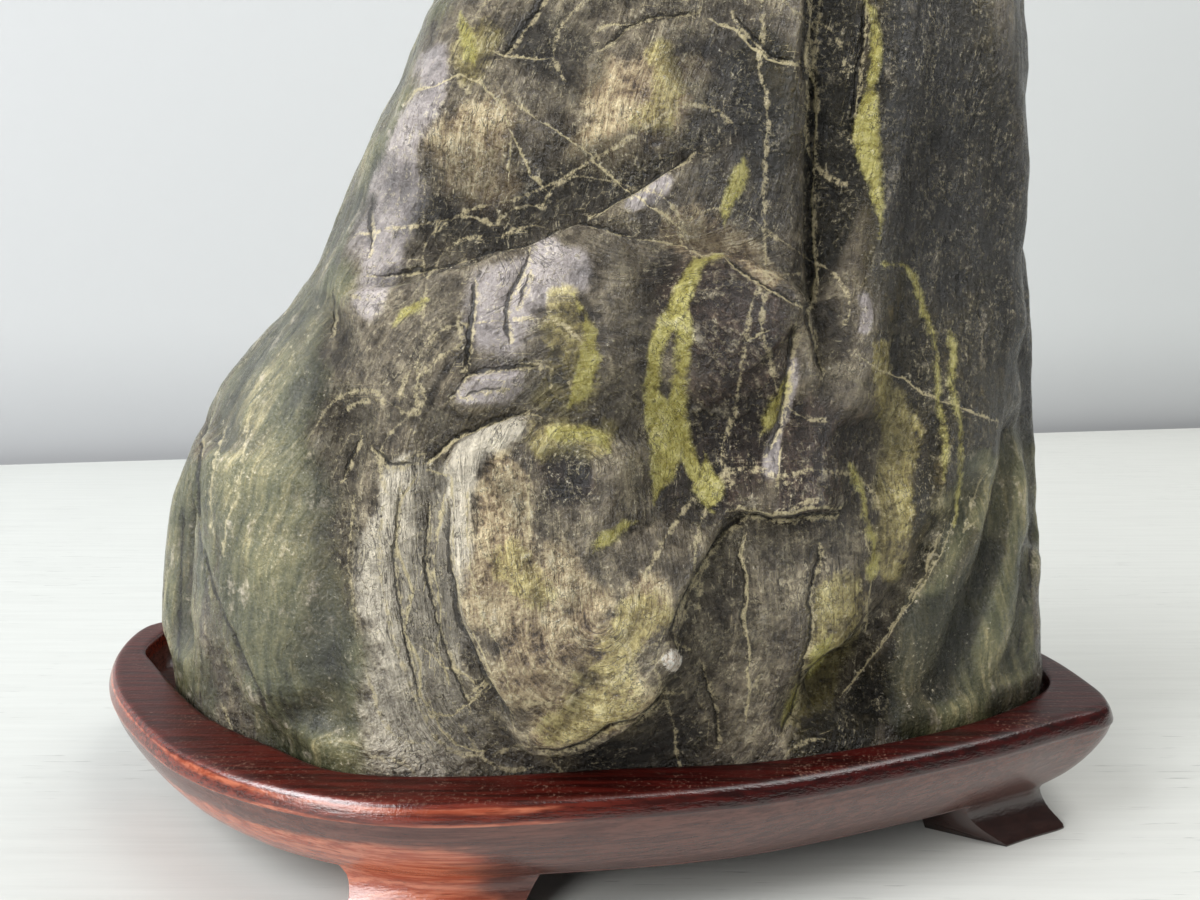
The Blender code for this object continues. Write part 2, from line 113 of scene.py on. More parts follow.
# Rounded folds: side, half width, rise (negative for a furrow), and the line, each point
# (across, up).
FOLDS = {
    "centre_cleft": (
        FRONT, 4, -2.4, [(44, 216), (47, 196), (46, 178), (46, 158), (46, 140), (47, 120)],
    ),
    "right_crest": (FRONT, 8, 3.6, [(61, 200), (61, 160), (59, 130), (57, 116), (55, 98)]),
    "left_crest": (FRONT, 9, 3.8, [(-20, 190), (-26, 165), (-34, 152), (-39, 138), (-47, 120)]),
    "flank_furrow": (
        FRONT, 7, -3.2, [(-44, 112), (-46, 98), (-48, 84), (-50, 68), (-52, 50), (-53, 34)],
    ),
    "first_flute": (FRONT, 6, -4.4, [(92, 92), (80, 76), (75, 66), (68, 58), (60, 48), (52, 38)]),
    "second_flute": (
        FRONT, 6, -4.0, [(104, 104), (101, 84), (97, 70), (93, 60), (86, 44), (80, 33)],
    ),
    "third_flute": (FRONT, 5, -2.8, [(112, 74), (109, 58), (105, 46), (102, 34)]),
    "edge_fold": (FRONT, 6, 2.6, [(84, 196), (88, 174), (96, 160), (100, 146), (101, 128), (99, 112)]),
    "left_streak": (FRONT, 4, -2.2, [(-86, 100), (-94, 92), (-98, 74), (-99, 56), (-97, 36)]),
    "back_fold": (BACK, 9, -4.5, [(-6, 222), (10, 184), (-2, 150), (12, 112), (-6, 82), (-12, 40)]),
    "back_right_fold": (BACK, 8, -3.5, [(86, 150), (72, 112), (80, 76), (70, 38)]),
    "back_crest": (BACK, 9, 3.0, [(-44, 150), (-30, 118), (-34, 84), (-30, 44)]),
    "left_end_furrow": (LEFT, 6, -2.6, [(2, 106), (-2, 84), (2, 60), (0, 36)]),
    "right_end_furrow": (RIGHT, 6, -3.2, [(-4, 196), (0, 160), (-3, 128), (2, 100), (0, 62)]),
}

# Ledges, as (side, reach, rise, line): the stone stands proud on the left hand of the line's travel
# and dies away over the reach.
LEDGES = {
    "centre_step": (FRONT, 17, 4.0, [(48, 104), (47, 120), (46, 140), (46, 178), (47, 196), (44, 222)]),
    "lobe_rim": (
        FRONT, 15, 3.6,
        [(18, 96), (8, 100), (-4, 103), (-14, 102), (-21, 97), (-24, 86), (-22, 70), (-19, 61),
         (-15, 54), (-12, 42), (-8, 36), (0, 36), (9, 42), (16, 48), (19, 58), (23, 71), (30, 83)],
    ),
    "shoulder": (
        FRONT, 18, 3.6,
        [(18, 134), (11, 136), (3, 139), (-6, 137), (-12, 134), (-19, 131), (-32, 128), (-48, 124)],
    ),
    "dome_top": (FRONT, 14, 3.0, [(48, 121), (44, 126), (36, 131), (30, 134), (24, 135), (18, 137)]),
    "diagonal": (FRONT, 12, 2.4, [(36, 158), (22, 152), (13, 147), (5, 143), (-3, 139)]),
    "plate_foot": (FRONT, 16, 3.8, [(27, 83), (34, 85), (41, 83), (49, 84), (56, 85)]),
    "slab": (FRONT, 12, 2.6, [(-7, 113), (-14, 111), (-21, 111), (-27, 104)]),
    "flank_fold": (
        FRONT, 20, 3.6,
        [(-84, 99), (-84, 89), (-82, 77), (-80, 66), (-76, 56), (-72, 46), (-66, 34)],
    ),
    "back_step": (
        BACK, 22, 3.4, [(-78, 92), (-52, 110), (-22, 118), (8, 108), (36, 112), (66, 126)],
    ),
    "back_low_step": (BACK, 16, 2.6, [(78, 82), (52, 94), (24, 88), (2, 74)]),
}
LEDGE_SOFTNESS = 1.6
FORM_END_FADE = 9.0

# Forms count fully where the surface faces their side, and fade out where it turns away.
FACING_FADE = (0.03, 0.42)

# Natural unevenness: (grain size, depth) of each layer of smooth noise.
UNEVENNESS = [(46.0, 2.0), (21.0, 0.9), (10.0, 0.35)]

# The foot of the stone keeps to its plan inside the recess, and takes its relief above the rim.
RELIEF_FROM, RELIEF_FULL = 31.0, 39.0

# --- Stand ----------------------------------------------------------------------------------------

RIM_TOP = 31.0
RECESS_FLOOR = 20.0
BOARD_UNDERSIDE = 10.0
RIM_PLAN = [
    (-130.5, 36), (-127.5, 18), (-119, 0), (-105, -18.4), (-84.4, -38.2), (-61.6, -50.9),
    (-35, -57.8), (-4, -56.8), (40, -50), (87, -34), (113, -22.5), (126, -16.5), (130, -9),
    (130.5, 0), (129.3, 12.8), (126, 24), (118, 38), (102, 48), (70, 55), (25, 57.5), (-30, 57.5),
    (-80, 55.5), (-112, 51), (-126, 44.3),
]
RECESS_PLAN = [
    (-121, 30), (-119.5, 20), (-112, 10), (-98.6, -6), (-84, -21), (-66, -33.5), (-47, -44.6),
    (-20, -46.2), (8, -43.4), (35, -41.2), (55, -36.5), (75, -29.8), (95, -20.5), (110, -10.5),
    (119, -1), (121, 10), (118, 22), (108, 33), (88, 41), (50, 45), (0, 46), (-50, 46),
    (-90, 44.5), (-112, 41), (-120, 36),
]
UNDERSIDE_SCALE = (0.89, 0.84)
INNER_FOOT_SCALE = (0.79, 0.61)

# The wall below the rim's edge, as (share of the way in to the underside's outline, height).
WALL_PROFILE = [(0.10, 23.3), (0.30, 18.8), (0.60, 14.2), (1.0, 10.0)]
# The outer face of a foot goes on from the wall: a neck, and a toe that flares out again.
FOOT_PROFILE = [(1.0, 10.0), (1.06, 7.4), (0.90, 4.2), (0.55, 0.8), (0.52, 0.0)]
RECESS_LIP = 0.8

# Feet: the plan point under the middle of each, half its length on the table, and how far its left
# and right flanks run out along the outline as they rise to the board.
FEET = {
    "front_left": ((-28, -48), 18, 6, 6),
    "front_right": ((104, -20), 10, 5, 8),
    "back_right": ((98, 41), 14, 10, 10),
    "back_left": ((-113, 33), 14, 14, 8),
}

# --- Camera, with its focal length in pixels of its image ------------------------------------------

CAMERA_SPOT = (5.6, -215.5, 126.0)
CAMERA_TILT_DOWN = math.radians(9.4623)
FOCAL_PIXELS = 900.0
IMAGE_SIZE = (1200, 900)
SENSOR_WIDTH = 36.0

# --- Stone: fine lines, in pixels of the camera's view --------------------------------------------

# Lines that more than one feature follows: a ledge's step, a cream line along its crest that is partly a
# painted highlight, and dark lines beside it that are painted shade where the stone falls back.
SHOULDER_RIM = [
    (633, 239), (604, 231), (579, 226), (553, 236), (534, 245), (486, 255), (467, 265), (419, 274),
    (400, 276),
]
DOME_RIM = [
    (805, 309), (767, 289), (738, 271), (722, 257), (703, 258), (684, 247), (655, 242), (633, 239),
]
DIAGONAL = [(692, 156), (677, 167), (655, 180), (639, 191), (604, 210), (588, 220)]
LOBE_TOP = [(545, 420), (537, 416), (512, 418), (480, 430), (451, 443), (424, 468)]
LOBE_LEFT = [
    (424, 468), (454, 477), (453, 529), (454, 567), (464, 615), (486, 656), (499, 694), (518, 726),
]
LOBE_BOTTOM = [
    (521, 726), (531, 744), (559, 749), (588, 739), (607, 723), (636, 717), (655, 701), (668, 684),
]
LOBE_CRACK = [(674, 643), (669, 631), (681, 602), (697, 570), (719, 532), (751, 509)]
PLATE_FOOT = [(722, 516), (741, 509), (773, 516), (792, 516), (815, 511), (846, 513)]
PLATE_RIDGE = [(799, 319), (794, 351), (789, 383), (783, 423), (770, 455), (768, 462)]
CENTRE_CREASE = [
    (828, -300), (800, -210), (812, -120), (806, -50), (810, 29), (805, 64), (813, 86), (814, 124),
    (810, 191), (811, 249), (814, 271), (808, 319), (814, 344), (821, 376),
]
SLAB_TOP = [(541, 371), (520, 370), (496, 373), (464, 376)]
SLAB_FOOT = [(505, 392), (480, 392), (448, 408)]
RIGHT_FLUTE = [
    (939, 400), (942, 454), (939, 505), (930, 553), (904, 617), (859, 671), (821, 706), (806, 740),
]
FLANK_FOLD = [
    (205, 432), (199, 480), (202, 540), (218, 598), (237, 642), (259, 687), (272, 719),
]

# Small ledges: reach in pixels, rise in millimetres, line.  The stone stands proud on the left hand
# of the line's travel.
SMALL_LEDGES = [
    (34, 1.1, SHOULDER_RIM), (30, 1.0, DOME_RIM), (26, 0.8, DIAGONAL), (36, 1.1, LOBE_TOP),
    (26, 0.6, LOBE_LEFT), (30, 1.1, LOBE_BOTTOM), (34, 0.9, LOBE_CRACK), (34, 1.0, PLATE_FOOT),
    (30, 0.9, PLATE_RIDGE), (20, 0.8, SLAB_TOP), (18, 0.7, SLAB_FOOT), (22, 0.5, FLANK_FOLD),
    (26, 1.0, RIGHT_FLUTE),
    (20, 0.9, [(1016, 448), (1011, 508), (1006, 550), (993, 591), (977, 636), (961, 665)]),
    (14, 0.5, [(1034, 520), (1032, 565), (1017, 629), (1002, 685)]),
]

# Cracks: half width in pixels, depth in millimetres, line. Many of them run just beside a ledge, at the
# shoulder, the dome, the diagonal, the slab, the lobe and the plate, and there their dark is painted shade
# where the stone falls back past the ledge's crest.
CRACKS = [
    (1.6, 0.7, [(636, 236), (604, 227), (579, 222), (553, 232), (534, 241), (486, 251), (467, 261)]),
    (1.5, 0.5, [(467, 261), (419, 270), (395, 272), (371, 276)]),
    (1.3, 0.6, [(805, 307), (767, 286), (738, 267), (722, 254)]),
    (1.6, 0.7, [(694, 151), (677, 163), (655, 176), (639, 187), (604, 206), (588, 216)]),
    (1.8, 0.8, [(477, 281), (472, 306), (467, 351), (464, 371)]),
    (1.6, 0.7, [(531, 250), (521, 274), (507, 297), (505, 319), (510, 344)]),
    (1.1, 0.4, [(531, 271), (524, 290), (518, 309)]),
    (1.4, 0.6, [(541, 367), (520, 366), (496, 369), (464, 372), (455, 392), (446, 402)]),
    (1.2, 0.5, [(505, 389), (480, 389), (462, 398)]),
    (1.3, 0.6, [(424, 464), (451, 439), (480, 426), (512, 414), (530, 411)]),
    (1.6, 0.8, CENTRE_CREASE),
    (1.2, 0.5, [(733, 14), (754, 38), (770, 54), (799, 63)]),
    (1.5, 0.7, [(796, 319), (791, 351), (786, 383), (779, 423), (766, 455)]),
    (1.6, 0.7, [(741, 513), (773, 520), (792, 520), (815, 515), (838, 516)]),
    (1.9, 0.9, [(751, 512), (722, 532), (700, 570), (684, 602), (672, 631), (677, 650)]),
    (1.3, 0.6, [(668, 688), (655, 705), (636, 721), (607, 727), (588, 743), (559, 753), (531, 748)]),
    (1.1, 0.4, [(819, 544), (819, 561), (813, 580), (809, 599), (812, 621), (810, 640), (803, 659),
                (801, 677), (793, 711), (778, 737)]),
    (0.6, 0.2, [(744, 528), (741, 539), (738, 557), (744, 576), (745, 599), (741, 617), (744, 636)]),
    (1.0, 0.4, [(700, 660), (708, 690), (716, 716), (718, 748)]),
    (1.8, 0.8, [(447, 500), (444, 541), (447, 573), (457, 621), (474, 656), (492, 692), (514, 728)]),
    (1.0, 0.4, [(428, 500), (424, 560), (434, 620), (452, 672), (470, 712)]),
    (0.9, 0.3, [(400, 486), (392, 560), (402, 630), (420, 700)]),
    (1.3, 0.5, [(361, 435), (355, 446), (349, 457), (343, 480)]),
    (1.1, 0.4, [(371, 445), (388, 464), (400, 466), (419, 461)]),
    (1.2, 0.5, [(371, 191), (369, 222), (371, 255)]),
    (0.9, 0.3, [(334, 287), (333, 335)]),
    (1.4, 0.6, [(202, 432), (196, 480), (199, 540), (215, 598), (234, 642), (256, 687), (269, 719)]),
    (1.0, 0.3, [(182, 505), (180, 591), (178, 665)]),
    (1.1, 0.4, [(600, 50), (625, 26), (654, 14), (700, 12)]),
    (1.0, 0.4, [(1032, 508), (1030, 560), (1029, 600)]),
    (1.2, 0.4, [(1022, 623), (1020, 640), (1016, 660)]),
    (1.3, 0.5, [(866, 0), (862, 40), (858, 78), (853, 108), (852, 140)]),
    (1.0, 0.4, [(500, 60), (530, 20), (560, -30), (620, -70), (700, -90)]),
    (1.2, 0.5, [(640, -60), (660, -120), (700, -180), (720, -240)]),
    (1.1, 0.4, [(880, -40), (930, -110), (960, -190), (930, -260)]),
    # These lie below the camera's view, and so only on the stone's back.
    (1.6, 0.7, [(520, 790), (560, 830), (620, 850), (690, 900), (720, 960), (700, 1040)]),
    (1.3, 0.5, [(820, 780), (800, 850), (830, 930), (810, 1010)]),
    (1.2, 0.5, [(380, 800), (430, 860), (440, 940), (500, 1000)]),
]

# Thin cream lines: half width in pixels, line. The first six, and the one along the plate's foot, lie on
# the crests of ledges, where they are partly cream stone and partly a painted highlight.
CREAM_LINES = [
    (1.3, SHOULDER_RIM), (1.2, DOME_RIM), (0.9, DIAGONAL), (1.2, LOBE_TOP), (0.8, LOBE_LEFT),
    (0.9, LOBE_BOTTOM),
    (1.2, [(400, 108), (419, 89), (441, 83), (459, 73), (480, 83), (502, 105), (510, 128), (523, 156),
           (531, 175), (550, 193)]),
    (0.9, [(502, 92), (527, 112), (553, 128), (566, 137), (591, 156)]),
    (1.0, [(512, 130), (509, 160), (507, 190)]),
    (1.1, [(486, 48), (505, 56), (537, 59), (556, 57)]),
    (0.8, [(591, 35), (607, 26), (633, 22), (655, 13)]),
    (1.6, [(706, 19), (735, 29), (754, 48), (767, 58), (789, 64), (805, 67)]),
    (1.3, [(812, 20), (808, 60), (815, 86), (816, 124), (812, 160)]),
    (0.9, [(813, 170), (812, 191), (813, 249), (816, 271), (810, 319)]),
    (1.1, [(856, 354), (879, 370), (904, 378), (923, 394), (955, 405), (977, 415), (1000, 423)]),
    (1.3, [(740, 345), (757, 335), (775, 326)]),
    (0.9, [(240, 492), (227, 521), (224, 559)]),
    (0.9, [(250, 410), (245, 448), (237, 492)]),
    (0.8, [(228, 420), (219, 450), (212, 490), (214, 530)]),
    (0.8, [(959, 497), (948, 530), (939, 554), (920, 587), (890, 632), (867, 662), (837, 700)]),
    (0.8, [(989, 467), (977, 486), (966, 520), (958, 550)]),
    (0.9, [(722, 512), (741, 505), (773, 512), (792, 512), (815, 507), (846, 509)]),
    (0.9, [(782, 440), (778, 470), (776, 500)]),
    (1.2, [(668, 693), (660, 706), (650, 716)]),
    (1.2, [(747, 524), (744, 539), (741, 557), (747, 576), (748, 599), (744, 617), (747, 636),
           (750, 655), (747, 670), (751, 689), (747, 711), (745, 726)]),
    (0.7, [(942, 512), (939, 531), (924, 572), (905, 606), (875, 651)]),
    (0.9, [(862, 520), (866, 545), (873, 566), (869, 590), (867, 614), (864, 636)]),
    (1.8, [(956, 538), (966, 528), (979, 517)]),
    (0.9, [(430, 700), (440, 730), (455, 745), (480, 752), (500, 740)]),
    (0.8, [(463, 700), (485, 682), (497, 668)]),
    (1.3, [(420, 470), (398, 505), (395, 545), (414, 590), (403, 632), (421, 662), (420, 695), (434, 720)]),
    (1.0, [(446, 480), (440, 520), (432, 560), (440, 610), (436, 650), (452, 690)]),
    (1.2, [(420, 710), (450, 716), (474, 700), (494, 675)]),
    (0.9, [(412, 640), (430, 652), (444, 668), (466, 676), (486, 694)]),
    (0.6, [(470, 486), (468, 530), (472, 572), (484, 616), (502, 655), (512, 700)]),
    (0.8, [(530, 470), (528, 500), (531, 540)]),
    (0.9, [(590, 160), (640, 200), (670, 220), (690, 236)]),
    (0.9, [(640, -10), (600, -60), (560, -90), (530, -150)]),
    (0.9, [(900, -30), (880, -90), (890, -160), (860, -230)]),
    (1.0, [(560, 800), (590, 860), (570, 930), (600, 1000)]),
    (1.0, [(700, 820), (760, 860), (780, 940), (760, 1020)]),
]

# Yellow-green veins: each point is (across, down, half width), in pixels.
YELLOW_VEINS = [
    [(840, -260, 1.5), (850, -200, 2), (838, -120, 3), (852, -60, 2), (866, 0, 2), (874, 19, 3),
     (876, 48, 6), (872, 83, 4), (868, 105, 8), (867, 125, 12), (868, 145, 13), (871, 166, 9),
     (877, 191, 5), (879, 223, 2.5), (879, 240, 1)],
    [(883, 263, 1.2), (904, 266, 1.8), (914, 277, 2), (920, 303, 3), (930, 325, 2), (936, 351, 1.6),
     (938, 383, 1.3), (944, 446, 1), (941, 480, 0.8)],
    [(951, 328, 2), (952, 340, 4), (953, 355, 3), (952, 383, 1.6), (957, 415, 1.4), (960, 448, 1.6),
     (955, 496, 1.2), (953, 527, 0.8)],
    [(732, 256, 1.5), (714, 258, 4), (698, 264, 7), (688, 282, 9), (681, 300, 9), (674, 318, 9),
     (660, 334, 8), (653, 357, 7), (651, 389, 8), (658, 412, 12), (664, 430, 15), (668, 450, 15),
     (664, 470, 12), (658, 488, 7), (654, 505, 2)],
    [(681, 300, 6), (684, 319, 7), (684, 351, 7), (679, 384, 7), (676, 410, 10), (680, 440, 10),
     (690, 462, 8), (698, 484, 5), (706, 505, 3), (716, 514, 1)],
    [(705, 452, 2), (706, 466, 5), (709, 482, 10), (713, 492, 12), (712, 502, 7), (708, 512, 2)],
    [(744, 156, 4), (741, 172, 9), (736, 186, 8), (728, 203, 6), (724, 214, 4), (723, 232, 1.5)],
    [(790, 372, 1), (784, 390, 3), (776, 408, 6), (768, 424, 6), (760, 436, 3)],
    [(850, 461, 1.5), (859, 486, 2), (866, 518, 2.5), (872, 540, 3), (873, 566, 5), (868, 590, 2)],
    [(572, 292, 2), (580, 312, 5), (590, 334, 8), (588, 362, 12), (580, 388, 10), (568, 410, 4)],
    [(540, 430, 2), (560, 434, 6), (586, 432, 7), (604, 440, 6), (612, 454, 2)],
    [(640, 520, 2), (622, 526, 4), (604, 540, 6), (592, 553, 3)],
    [(834, 632, 2), (824, 648, 6), (814, 664, 6), (807, 680, 2)],
    [(800, 684, 2), (794, 700, 3), (782, 728, 1.5)],
    [(430, 300, 2), (415, 308, 4), (400, 318, 3), (392, 328, 1)],
    [(461, 12, 3), (466, 34, 6), (471, 56, 6), (478, 70, 2)],
    [(600, 770, 2), (620, 810, 6), (610, 860, 9), (625, 920, 6), (618, 980, 2)],
    [(900, 790, 2), (880, 850, 5), (890, 910, 3), (870, 980, 2)],
]

# --- Stone: colour areas, as chains of (across, down, radius), in pixels --------------------------

COLOUR_AREAS = {
    "green": [
        [(425, -20, 26), (395, 60, 26), (350, 200, 26), (300, 300, 34), (262, 400, 52), (262, 520, 66),
         (290, 640, 60), (325, 740, 50)],
        [(1020, 440, 16), (1012, 560, 26), (1000, 660, 40), (960, 720, 40)],
        [(985, 480, 26), (965, 570, 36), (940, 640, 38), (925, 715, 30)],
        [(185, 480, 24), (175, 600, 26), (178, 700, 30)],
    ],
    "fibrous": [
        [(404, 480, 20), (400, 560, 34), (410, 650, 42), (428, 740, 42)],
        [(370, 540, 12), (372, 600, 14)],
        # This chain paints the sheen on the lobe's upper-left rim: a painted highlight in the fibrous
        # kind's light tones.
        [(520, 430, 12), (485, 450, 18), (470, 475, 16), (460, 520, 11), (458, 580, 8)],
        [(440, 480, 12), (438, 560, 12), (450, 640, 14)],
    ],
    "beige": [
        [(512, 476, 20), (500, 520, 28), (500, 590, 46), (530, 596, 32), (536, 660, 46)],
        [(576, 650, 46), (612, 690, 36), (560, 718, 26)],
        [(610, 90, 30), (650, 95, 42), (690, 80, 22), (600, 150, 30)],
        [(475, 130, 36), (455, 200, 22), (500, 185, 24)],
        [(648, 600, 20), (634, 640, 22)],
        [(556, 566, 22), (590, 596, 22)],
        [(690, 232, 26), (745, 262, 18), (770, 285, 12)],
    ],
    "brown": [
        [(700, 300, 50), (745, 330, 60), (740, 420, 55), (700, 480, 45)],
        [(820, 430, 42), (810, 490, 40)],
        [(930, 330, 50), (920, 420, 50)],
        [(564, 462, 22), (572, 490, 26)],
    ],
    # Painted sheen: these pale lilac-grey places are the soft highlights on the crest at the upper left, on
    # the slab, on the plate's ridge and right of the centre crease, painted into the colour.
    "pale": [
        [(560, 270, 34), (510, 300, 36), (500, 330, 26), (540, 250, 14)],
        [(500, 382, 20), (460, 392, 12)],
        [(662, 184, 11), (630, 200, 9)],
        [(440, 60, 12), (412, 130, 20), (392, 220, 24), (372, 300, 20)],
        [(795, 360, 6), (785, 420, 7), (770, 458, 10)],
        [(868, 290, 6), (860, 325, 6)],
    ],
    # Painted shade, with a few spots of dark stone: the column and the right face, which turn from the
    # light, the hollow over the ledge block, the low right wedge and the undercuts by the rim are darkened.
    "dark": [
        [(835, -60, 30), (832, 60, 32), (835, 160, 32), (830, 260, 22)],
        [(1015, 60, 30), (1020, 200, 34), (1025, 330, 30), (1030, 420, 20)],
        [(920, 40, 50), (940, 160, 56), (950, 260, 50), (900, 200, 30)],
        [(690, 60, 30), (740, 120, 40), (770, 200, 40), (700, 140, 30)],
        [(430, 225, 24), (520, 215, 24), (600, 180, 26), (650, 150, 20)],
        [(936, 600, 12), (905, 650, 22), (872, 695, 28), (840, 728, 30)],
        [(566, 462, 18), (572, 488, 22)],
        [(540, 40, 40), (580, 60, 30)],
        [(590, 760, 22), (680, 750, 26)],
        [(975, 560, 24), (945, 640, 26), (905, 710, 30)],
        [(1030, 690, 18), (1010, 715, 22)],
    ],
    "olive": [
        [(915, -60, 50), (930, 100, 66), (955, 250, 76), (960, 350, 70), (975, 450, 50), (950, 540, 40)],
        [(760, 60, 30), (775, 150, 26)],
        # These two chains darken the column and the low right wedge with olive tones: partly olive stone,
        # partly painted shade.
        [(835, -60, 26), (833, 60, 28), (835, 160, 28), (830, 260, 18)],
        [(905, 655, 16), (872, 695, 22), (840, 728, 28), (815, 745, 22)],
    ],
    "yellow": [
        [(655, 60, 16), (668, 90, 22), (650, 130, 16)],
        [(640, 620, 30), (600, 700, 34), (560, 720, 22)],
        [(885, 350, 16), (890, 400, 22), (900, 500, 26), (880, 560, 20)],
        [(845, 600, 22), (830, 650, 22), (800, 710, 16)],
        [(562, 300, 22), (570, 350, 30), (560, 400, 22)],
        [(555, 440, 22), (590, 440, 20)],
        [(490, 30, 20), (470, 60, 20)],
        [(505, 560, 26), (530, 590, 24)],
    ],
}
# How softly an area ends, and how far it counts, both in radii.
AREA_SOFTNESS = 0.6
AREA_EXTENT = 2.2
# A small white nodule: (across, down, radius) in pixels, how far it stands out in
# millimetres, and how much its height in the view counts against its width.
NODULE = (671, 660, 8.0)
NODULE_RISE = 1.3
NODULE_SQUASH = 0.8


# --- Curves and outlines --------------------------------------------------------------------------

def smooth_step(low, high, value):
    """0 below low, 1 above high, and smooth between."""
    t = np.clip((value - low) / (high - low), 0.0, 1.0)
    return t * t * (3.0 - 2.0 * t)


def rise(height):
    """Heights of the stone as an angle that slows towards its top, which makes the top a dome."""
    return np.arcsin(np.clip((np.asarray(height, float) - STONE_BASE) / (STONE_TOP - STONE_BASE), 0, 1))


def read_table(table, height):
    """A smooth curve through the table's (height, value) pairs, read at the heights."""
    knots = rise([h for h, _ in table])
    values = np.array([v for _, v in table], float)
    slopes = np.gradient(values, knots)
    at = rise(height)
    k = np.clip(np.searchsorted(knots, at, side="right") - 1, 0, len(knots) - 2)
    span = knots[k + 1] - knots[k]
    u = (at - knots[k]) / span
    return ((2 * u**3 - 3 * u**2 + 1) * values[k] + (u**3 - 2 * u**2 + u) * span * slopes[k]
            + (3 * u**2 - 2 * u**3) * values[k + 1] + (u**3 - u**2) * span * slopes[k + 1])


def curve_points(controls, steps):
    """Points of a smooth curve (Catmull-Rom), from the four points that govern each stretch."""
    a, b, c, d = (points[:, None, :] for points in controls)
    u = (np.arange(steps) / steps)[None, :, None]
    curve = 0.5 * (2 * b + (c - a) * u + (2 * a - 5 * b + 4 * c - d) * u**2
                   + (3 * b - a - 3 * c + d) * u**3)
    return curve.reshape(-1, 2)


def closed_curve(points, steps=40):
    """A smooth closed curve through the points."""
    return curve_points([np.roll(points, shift, axis=0) for shift in (1, 0, -1, -2)], steps)


def smooth_line(points, steps=6):
    """A smooth open line through the points."""
    p = np.array(points, float)
    padded = np.r_[[2 * p[0] - p[1]], p, [2 * p[-1] - p[-2]]]
    stretches = len(p) - 1
    return np.r_[curve_points([padded[i:i + stretches] for i in range(4)], steps), p[-1:]]


def split_curve(plan):
    """The plan's outline in two halves: left end to right end round the front, and back behind."""
    curve = closed_curve(plan)
    curve = np.roll(curve, -int(curve[:, 0].argmin()), axis=0)
    right_end = int(curve[:, 0].argmax())
    return curve[:right_end + 1], np.r_[curve[right_end:], curve[:1]]


def distance_along(line):
    """How far along the line each of its points lies."""
    return np.r_[0, np.cumsum(np.linalg.norm(np.diff(line, axis=0), axis=1))]


def plan_points(plan, stations):
    """Points of the outline: stations 0 to 1 share out its front half, and 1 to 2 its back half."""
    points = np.zeros((len(stations), 2))
    for start, half in enumerate(split_curve(plan)):
        here = (stations >= start) & (stations < start + 1)
        length = distance_along(half)
        at = (stations[here] - start) * length[-1]
        points[here] = np.c_[np.interp(at, length, half[:, 0]), np.interp(at, length, half[:, 1])]
    return points


def even_stations(front_columns, back_columns):
    """Stations at even distances along the front half and along the back half."""
    return np.r_[np.arange(front_columns) / front_columns, 1 + np.arange(back_columns) / back_columns]


def unit_plan(plan, stations):
    """The plan's outline with its width, front and back each brought to the range -1 to 1."""
    p = plan_points(plan, stations)
    low, high = p[:, 0].min(), p[:, 0].max()
    front, back = -p[:, 1].min(), p[:, 1].max()
    depth = np.where(p[:, 1] < 0, p[:, 1] / front, p[:, 1] / back)
    return np.c_[2 * (p[:, 0] - low) / (high - low) - 1, depth]


def measure_from_line(line, across, up):
    """Distance to a line, the side it lies on (+1 on the left of travel), and distance to its ends."""
    best = np.full(across.shape, np.inf)
    score = best.copy()
    side = np.zeros(across.shape)
    along = np.zeros(across.shape)
    lengths = distance_along(line)
    for (ax, az), (bx, bz), start in zip(line, line[1:], lengths):
        ux, uz = bx - ax, bz - az
        length = math.hypot(ux, uz)
        t = np.clip(((across - ax) * ux + (up - az) * uz) / length**2, 0, 1)
        dx, dz = across - ax - t * ux, up - az - t * uz
        distance = np.hypot(dx, dz)
        square = (ux * dz - uz * dx) / length
        # Where two stretches are equally near, at a corner, the one seen more squarely counts.
        nearer = distance - 1e-3 * np.abs(square) < score
        score = np.where(nearer, distance - 1e-3 * np.abs(square), score)
        best = np.where(nearer, distance, best)
        side = np.where(nearer, np.sign(square), side)
        along = np.where(nearer, start + t * length, along)
    return best, side, np.minimum(along, lengths[-1] - along)


def soft_noise(points, grain):
    """Smooth noise of one grain size at each point, the same on every run."""
    flat = points.reshape(-1, 3) / grain
    return np.array([noise.noise(Vector(p)) for p in flat]).reshape(points.shape[:-1])


def unevenness(points, layers):
    """Natural lumps at each point: noise, summed over its (grain size, depth) layers."""
    return sum(depth * soft_noise(points, grain) for grain, depth in layers)


# --- Stone: main shape ----------------------------------------------------------------------------

def stone_base_form(stations, heights):
    """The stone without relief: rows of points, one row for each height."""
    foot, shoulder = (unit_plan(plan, stations) for plan in (FOOT_PLAN, SHOULDER_PLAN))
    mix = smooth_step(FOOT_PLAN_TO, SHOULDER_PLAN_FROM, heights)[:, None]
    across, deep = (foot[None, :, i] * (1 - mix) + shoulder[None, :, i] * mix for i in range(2))
    left, right, front, back = (
        read_table(table, heights)[:, None]
        for table in (LEFT_EDGE, RIGHT_EDGE, FRONT_DEPTH, BACK_DEPTH))
    x = left + (right - left) * (across + 1) / 2
    y = np.where(deep < 0, deep * front, deep * back)
    z = np.broadcast_to(heights[:, None], x.shape)
    return np.stack([x, y, z], axis=-1)


def grid_normals(points):
    """Outward unit normals of a grid of rows that close on themselves."""
    along = np.roll(points, -1, axis=1) - np.roll(points, 1, axis=1)
    up = np.gradient(points, axis=0)
    normal = np.cross(along, up)
    return normal / np.maximum(np.linalg.norm(normal, axis=-1, keepdims=True), 1e-9)


